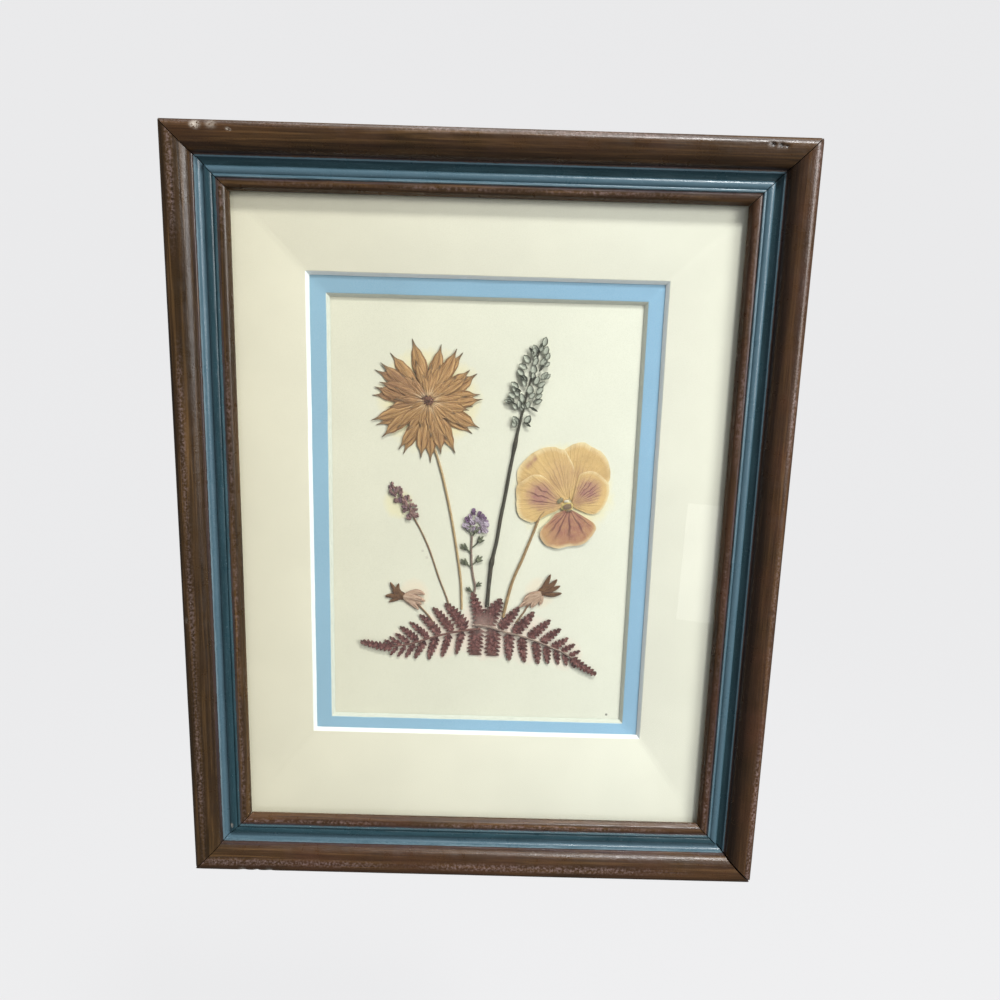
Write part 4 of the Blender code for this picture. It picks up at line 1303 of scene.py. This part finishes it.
lilac = Finish("lilac_petals", Roughness=0.8, Specular_IOR_Level=0.2)
lilac_grain = lilac.noise(lilac.place, 520, 4, 0.6)
pale_lilac = lilac.ramp(lilac_grain, (0.38, (0.17, 0.11, 0.16)), (0.58, (0.47, 0.4, 0.46)))
deep = lilac.ramp(lilac.attribute("tone"), (0.35, 0.0), (0.75, 1.0))
violet = lilac.ramp(lilac_grain, (0.35, (0.065, 0.028, 0.06)), (0.65, (0.22, 0.13, 0.23)))
lilac.surface(Base_Color=lilac.mix(deep, pale_lilac, violet), Normal=lilac.bump(lilac_grain, 0.0002, 0.7))
# Petals: foot, turn, length and width scales, tone (deeper above 0.5)
LILAC_PETALS = (
    (-3.4, 6.4, -8, 0.9, 0.8, 0.9), (-3, 6.2, -45, 0.8, 0.7, 0.8), (-1.4, 5.4, 12, 0.8, 0.8, 1.0),
    (-1, 5, 50, 0.8, 0.8, 0.7), (0.2, 3.8, 48, 0.8, 0.7, 0.95), (0.6, 3.2, 80, 0.8, 0.8, 0.6),
    (-5, 3.6, -70, 0.8, 0.8, 0.85), (-5.4, 3, -40, 0.9, 0.8, 0.9), (-4.4, 4.4, -28, 0.8, 0.8, 0.5),
    (-2, 3, 0, 0.9, 1.0, 0.3), (-0.6, 1.8, 85, 1.3, 1.1, 0.1), (-0.2, 0.9, 128, 1.2, 1.1, 0.05),
    (-1.6, 0.8, 160, 1.0, 1.0, 0.15), (-5, 1.4, -88, 1.1, 1.1, 0.15), (-4.4, 0.8, -130, 0.9, 0.9, 0.3),
    (-3, 2, -50, 1.0, 1.0, 0.2), (-1.2, 2.4, 40, 1.0, 1.0, 0.25), (-3, 1.2, 190, 0.9, 0.9, 0.45),
)
lilac_points = []
for number, (x, z, turn, length, width, tone) in enumerate(LILAC_PETALS):
    lilac_points.append((on_card(x, z, 0.25 + 0.16 * (number % 4)), turn, 0, (width, 1, length), tone))
lilac_petal = centred_blade(
    3.0,
    lambda t: 1.1 * sin(pi * (0.06 + 0.8 * t)) ** 0.7 * (1 + 0.22 * sin(17 * t)),
    lambda t, s: 0.3 + 0.2 * sin(pi * t) + 0.16 * sin(7 * s + 5 * t),
    14, 6,
)
set_out_pieces("blue_flower", lilac_petal, lilac_points, lilac.material, "lilac_flowers",
               ("blue_flower_cluster",), 0.08, 9)

# Seed cups and their stalks: foot on the stem, cup's base, turn, size
SEED_CUPS = (
    (-4.3, -8.6, -1.2, -5.6, 38, 1.4), (-4.3, -11, -6.6, -8.8, -50, 1.4),
    (-4.1, -16.2, -1.8, -14.2, 48, 1.4), (-4, -17.2, -6.4, -15.6, -48, 1.4),
    (-2.6, -26, -1.4, -25.2, 60, 1.0), (-3.8, -3, -3, -1.4, 20, 1.4),
    (-4.4, -3, -5.4, -0.8, -22, 1.4), (-3, -28.8, -4.4, -27.6, -55, 1.0),
)
cup_green = Finish("seed_cup_green", Roughness=0.85, Specular_IOR_Level=0.2)
cup_grain = cup_green.noise(cup_green.place, 900, 3)
cup_green.surface(
    Base_Color=cup_green.ramp(cup_grain, (0.3, (0.05, 0.055, 0.035)), (0.7, (0.16, 0.17, 0.1))),
    Normal=cup_green.bump(cup_grain, 0.00015, 0.8),
)
seed_cups = bmesh.new()
for x, z, cup_x, cup_z, turn, size in SEED_CUPS:
    start, foot = Vector((x, z)), Vector((cup_x, cup_z))
    add_blade(seed_cups, smooth_path([start, (start + foot) / 2 + Vector((0.15, -0.1)), foot], 4),
              lambda t: 0.28, lambda t, s: 0.75 - 0.3 * s * s, 0.35, 0.4, 4)
    for tooth in (-34, 0, 34):
        angle = radians(turn + tooth)
        tip = foot + Vector((sin(angle), cos(angle))) * (2.3 if tooth == 0 else 1.9) * size
        add_blade(seed_cups, smooth_path([foot, tip], 8),
                  lambda t, size=size: 0.62 * size * (1 - t) ** 0.8 + 0.05,
                  lambda t, s, tooth=tooth: 0.8 + 0.004 * tooth + 0.25 * (1 - s * s) * (1 - t), 0.3, 0.5, 4)
add_plant("seed_cups", seed_cups, cup_green.material, "olive_stem", ())


# --- Buds ----------------------------------------------------------------------------------
# Two half-open flowers on their sides: a brown calyx with spread pointed lobes and, between
# them, the folded pink petals.


def bud_finish(name, *stops):
    made = Finish(name, Specular_IOR_Level=0.25)
    blade, _, across = made.blade()
    streaks = made.noise(made.stretched(blade, (2, 14, 1)), 1, 4, 0.6)
    colour = made.ramp(streaks, *stops)
    edge = made.off(across, 0.5)
    colour = made.mix(made.ramp(edge, (0.38, 0.0), (0.5, 0.6)), colour, stops[0][1])
    return made.surface(Base_Color=colour, Roughness=0.78, Normal=made.bump(streaks, 0.0002, 0.8))


calyx_brown = bud_finish(
    "calyx_brown", (0.36, (0.03, 0.011, 0.005)), (0.48, (0.1, 0.04, 0.016)), (0.66, (0.3, 0.17, 0.07))
)
faded_pink = bud_finish(
    "faded_pink", (0.38, (0.17, 0.08, 0.055)), (0.47, (0.42, 0.27, 0.18)), (0.66, (0.66, 0.5, 0.37))
)
# Each blade: foot, middle, tip, half width, lift
CALYXES = {
    "left": (
        ((-33.6, -31), (-37, -28.6), (-39.3, -24.8), 1.0, 0.8),
        ((-34, -31.2), (-38, -31), (-41.5, -31.2), 1.2, 0.6),
        ((-33.8, -30.6), (-36, -28), (-35.6, -25.2), 1.0, 0.9),
        ((-34, -31.6), (-37, -32.6), (-40, -34), 0.9, 0.4),
        ((-32.4, -31.5), (-35.4, -30.4), (-38.4, -28.6), 1.9, 0.7),
    ),
    "right": (
        ((26.5, -27.2), (28.6, -23.6), (30.4, -19.3), 1.1, 0.8),
        ((27, -27), (30.6, -24.6), (33.3, -21.5), 1.2, 0.9),
        ((27, -27.4), (31, -26.4), (34.8, -24.4), 1.1, 0.8),
        ((26.8, -28), (31.4, -28.6), (35.6, -27.8), 1.1, 0.6),
        ((25.5, -28), (28.8, -26.4), (31.6, -25), 2.1, 0.7),
    ),
}
BUD_PETALS = {
    "left": (
        ((-33.6, -31), (-28, -29), (-24.2, -30), 1.3, 0.7),
        ((-33.6, -31.2), (-29, -31.4), (-24, -33), 1.5, 0.9),
        ((-33.6, -31.6), (-30, -34), (-26.8, -37), 1.2, 0.7),
        ((-33.4, -31.4), (-29.6, -32.6), (-25.6, -34.6), 1.4, 0.6),
    ),
    "right": (
        ((26.6, -27.8), (22, -29.4), (18.8, -31.8), 1.5, 0.9),
        ((26.6, -28.2), (21.6, -31.4), (17.2, -34.6), 1.5, 0.8),
        ((26.4, -28.8), (24, -32), (22.4, -34.8), 1.4, 0.7),
        ((27, -28.6), (26.8, -31.4), (26, -33.6), 0.9, 0.5),
        ((26.4, -28.4), (22.6, -31.6), (19.6, -34), 1.2, 0.6),
    ),
}


def spindle(build, foot, middle, tip, half, lift, tone):
    """A lobe or folded petal of a bud, widest near its middle."""
    path = smooth_path([foot, middle, tip], 7)
    add_blade(
        build, path,
        lambda t: half * sin(pi * (0.14 + 0.84 * t)) ** 0.8,
        lambda t, s: lift + 0.25 * (1 - s * s) + 0.1 * noise.noise((s * 3, t * 4, tone * 9)),
        0.16, tone,
    )


for word in ("left", "right"):
    for shapes, name, finish, slot, node in (
        (CALYXES, f"{word}_bud_calyx", calyx_brown, "brown_calyx", f"bud_{word}_calyx"),
        (BUD_PETALS, f"{word}_bud_petals", faded_pink, "faded_petals", f"bud_{word}_petals"),
    ):
        bud_build = bmesh.new()
        for number, (foot, middle, tip, half, lift) in enumerate(shapes[word]):
            spindle(bud_build, foot, middle, tip, half, lift, number * 0.3)
        add_plant(name, bud_build, finish, slot, (node,))


# --- Fern ----------------------------------------------------------------------------------
# Two maroon fronds laid foot to foot. Each has a thin midrib and two rows of toothed pinnae
# that lean to its tip; a short sprig stands up between them.

LEFT_MIDRIB = [(0.5, -45), (-3.5, -45.5), (-9.5, -46.5), (-15.5, -48), (-22, -50), (-29, -52.4),
               (-36, -54), (-43, -54.6), (-47.5, -54), (-52, -52.4)]
RIGHT_MIDRIB = [(-3, -43.2), (4, -44), (10.5, -46), (17, -47.6), (22, -49), (27.5, -51), (32.5, -53),
                (37.5, -55.2), (43, -58.5), (48, -62), (52, -64.8)]
# Pinnae as (foot, tip) in mm; the first is the broadest
LEFT_PINNAE = (
    ((-6, -45.4), (-15.2, -33.8)), ((-11.8, -46.4), (-20.6, -35.8)), ((-17.4, -48), (-26.4, -39.2)),
    ((-22.4, -50), (-30.8, -42.8)), ((-27, -51.4), (-35, -45)), ((-30.8, -52.6), (-37, -48.2)),
    ((-34.4, -53.6), (-39.6, -49.8)), ((-37.2, -54.2), (-41.8, -51.4)),
    ((-7.4, -46.6), (-10, -57.4)), ((-13.2, -48), (-16.4, -58.8)), ((-18.8, -49.4), (-22.2, -60.2)),
    ((-24, -51.4), (-28.4, -59.8)), ((-28.6, -53), (-32.6, -59.6)), ((-32.6, -54), (-36.2, -59.2)),
    ((-36, -54.6), (-39.4, -58.6)),
)
RIGHT_PINNAE = (
    ((2.6, -43.6), (9.2, -31)), ((9.2, -44.8), (17.4, -34.4)), ((15.2, -46.8), (23.9, -36.6)),
    ((22, -48.8), (31.2, -40.2)), ((27.6, -51), (36, -44.2)), ((32.4, -53), (39.4, -48.2)),
    ((36.8, -54.8), (42.6, -51.2)), ((40.2, -56.6), (45, -54.2)),
    ((13.2, -46.6), (13.6, -59.6)), ((19, -48.4), (20.5, -60.4)), ((25, -50.2), (26.5, -61)),
    ((30, -52.2), (30.8, -60.8)), ((34.2, -54), (35.4, -61)), ((38, -55.6), (39.2, -61.4)),
    ((41.2, -57.2), (42.8, -62.4)),
)
# The two broad pinnae below the middle, and the toothed ends of the fronds: foot, tip, half width
BROAD_PINNAE = (((-1.2, -45.2), (-1.8, -57.6), 3.8), ((6.2, -44.8), (5.8, -57.8), 3.8))
FROND_ENDS = (((-38.5, -54.8), (-52.4, -52.2), 2.3), ((41.6, -57.8), (52.4, -65), 2.3))
FROND_FEET = (1.5, -43)  # where the fronds meet, and a pale bloom has come on them
TOOTH_PITCH = 1.85  # mm, between the teeth along a pinna's edge
TOOTH_RISE = 0.7  # share of a tooth's length over which it rises; over the rest it falls
BLADE_SHARE = 0.62  # draws a pinna's flat rows in towards its midrib
NOTCH_SHARE = 0.44  # of the half width, from its midrib to the notches
TOOTH_REACH = 1.35  # how far a tooth goes past the notches, as a share of NOTCH_SHARE's width
# Share of a pinna's half width by the share along it
PINNA_PROFILE = ((0, 0.5), (0.12, 1), (0.35, 0.98), (0.65, 0.8), (0.88, 0.52), (1, 0.2))
BROAD_PROFILE = ((0, 0.9), (0.1, 1), (0.8, 0.95), (0.95, 0.9), (1, 0.75))
END_PROFILE = ((0, 0.9), (0.2, 1), (0.6, 0.85), (0.9, 0.7), (1, 0.4))


def fern_finish():
    made = Finish("maroon_fern", Specular_IOR_Level=0.2)
    _, along, across = made.blade()
    middle = made.off(across, 0.5)
    mottle = made.noise(made.place, 800, 4, 0.65)
    drift = made.noise(made.place, 90, 3)
    colour = made.ramp(
        mottle, (0.38, (0.034, 0.009, 0.008)), (0.5, (0.105, 0.034, 0.028)), (0.64, (0.3, 0.14, 0.12))
    )
    colour = made.mix(made.ramp(drift, (0.45, 0.0), (0.7, 0.4)), colour, (0.115, 0.04, 0.032))
    colour = made.mix(made.ramp(middle, (0.3, 0.0), (0.5, 0.55)), colour, (0.075, 0.03, 0.024))
    colour = made.mix(made.ramp(middle, (0.0, 0.7), (0.07, 0.0)), colour, (0.055, 0.016, 0.016))
    colour = made.mix(made.ramp(along, (0.75, 0.0), (1.0, 0.45)), colour, (0.12, 0.07, 0.05))
    near = made.plus(made.distance(*FROND_FEET), made.times(mottle, 5 * MM))
    bloom = made.ramp(made.times(near, 85), (0.3, 0.6), (0.75, 0.0))
    colour = made.mix(bloom, colour, (0.42, 0.29, 0.24))
    return made.surface(Base_Color=colour, Roughness=0.85, Normal=made.bump(mottle, 0.0002, 0.8))


def add_pinna(build, foot, tip, half, lift, tone, profile=PINNA_PROFILE):
    """One pinna: a tapered blade whose edges are cut into teeth that point to its tip."""
    start, end = Vector(foot), Vector(tip)
    along = end - start
    length = along.length
    ahead = along.normalized()
    across = Vector((-ahead.y, ahead.x))
    sway = 0.06 * length * noise.noise((start.x, start.y, 2.0))
    teeth = max(3, round(length / TOOTH_PITCH))
    rows = []
    for i in range(teeth * 6 + 1):
        t = i / (teeth * 6)
        body = shaped(t, *profile)
        row = []
        for s in (-1, -0.6, -0.3, 0, 0.3, 0.6, 1):
            share = (t * teeth + (0.5 if s < 0 else 0)) % 1
            tooth = share / TOOTH_RISE if share < TOOTH_RISE else (1 - share) / (1 - TOOTH_RISE)
            reach = half * body * s * (BLADE_SHARE if abs(s) < 1 else NOTCH_SHARE)
            if abs(s) == 1:
                uneven = noise.noise((start.x + s, int(t * teeth) * 1.7, 6.0))
                reach *= 1 + TOOTH_REACH * tooth**0.7 * (1 + 0.35 * uneven)
            bow = sway * sin(pi * t)
            hook = 0.22 * tooth * abs(s) ** 4
            place = start + ahead * (t * length + hook * (1 - t)) + across * (reach + bow)
            height = lift + 0.1 * abs(s) + 0.12 * noise.noise((place.x * 0.5, place.y * 0.5, 4.0))
            row.append((place.x, place.y, height))
        rows.append(row)
    add_sheet(build, rows, 0.1, tone)


maroon_fern = fern_finish()
fern_random = Random(5)
for side, (word, midrib, pinnae, fullness, rib) in enumerate((
    ("left", LEFT_MIDRIB, LEFT_PINNAE, 0.84, maroon_rib),
    ("right", RIGHT_MIDRIB, RIGHT_PINNAE, 1.0, mauve_stem),
)):
    fern_build = bmesh.new()
    add_pinna(fern_build, *BROAD_PINNAE[side], 0.45, 0.5, BROAD_PROFILE)
    add_pinna(fern_build, *FROND_ENDS[side], 1.35, 0.5, END_PROFILE)
    for number, (foot, tip) in enumerate(pinnae):
        length = hypot(tip[0] - foot[0], tip[1] - foot[1])
        half = (0.42 + (0.24 if number == 0 else 0.185) * length) * fullness * fern_random.uniform(0.94, 1.08)
        add_pinna(fern_build, foot, tip, half, 0.5 + 0.12 * (number % 3), fern_random.random())
    add_plant(f"{word}_frond", fern_build, maroon_fern, "maroon_fern", (f"fern_frond_{word}",))
    stem(f"{word}_midrib", midrib, (1.2, 0.5), rib, "maroon_fern", (), 20 + len(pinnae), 0.75)
sprig_build = bmesh.new()
add_pinna(sprig_build, (0.8, -44.4), (-3.6, -28.2), 3.2, 1.2, 0.4)
add_pinna(sprig_build, (1.8, -44.2), (3.6, -36.4), 2.1, 1.0, 0.7)
add_plant("middle_pinna", sprig_build, maroon_fern, "maroon_fern", ("fern_sprig_centre",))


# --- Backing, points and hanger ------------------------------------------------------------
# A brown fibre board, held by eight steel points pressed into the rabbet, and a saw-tooth
# hanger nailed to the top rail.

board = Finish("fibre_board", Specular_IOR_Level=0.2)
strands = board.noise(board.stretched(board.place, (260, 260, 900)), 1, 5, 0.7)
flecks = board.noise(board.place, 1500, 3, 0.6)
board_brown = board.ramp(strands, (0.3, (0.2, 0.125, 0.07)), (0.7, (0.36, 0.24, 0.14)))
board_brown = board.mix(board.ramp(flecks, (0.55, 0.0), (0.75, 0.7)), board_brown, (0.12, 0.07, 0.04))
board.surface(Base_Color=board_brown, Roughness=0.92, Normal=board.bump(strands, 0.0002, 0.6))
refinish("backing_board", board.material)

zinc = Finish("zinc_plate", Metallic=1.0)
spangle = zinc.node("TexVoronoi")
zinc.put(spangle.inputs["Vector"], zinc.place)
spangle.inputs["Scale"].default_value = 900
tint = zinc.ramp(spangle.outputs["Color"], (0.2, (0.42, 0.43, 0.44)), (0.8, (0.62, 0.63, 0.64)))
scratch = zinc.noise(zinc.stretched(zinc.place, (400, 400, 5200)), 1, 3)
zinc.surface(
    Base_Color=tint,
    Roughness=zinc.ramp(scratch, (0.3, 0.28), (0.7, 0.5)),
    Normal=zinc.bump(scratch, 0.00003, 0.5),
)
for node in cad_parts:
    if node.startswith(("framers_point", "sawtooth", "hanger_nail")):
        refinish(node, zinc.material)
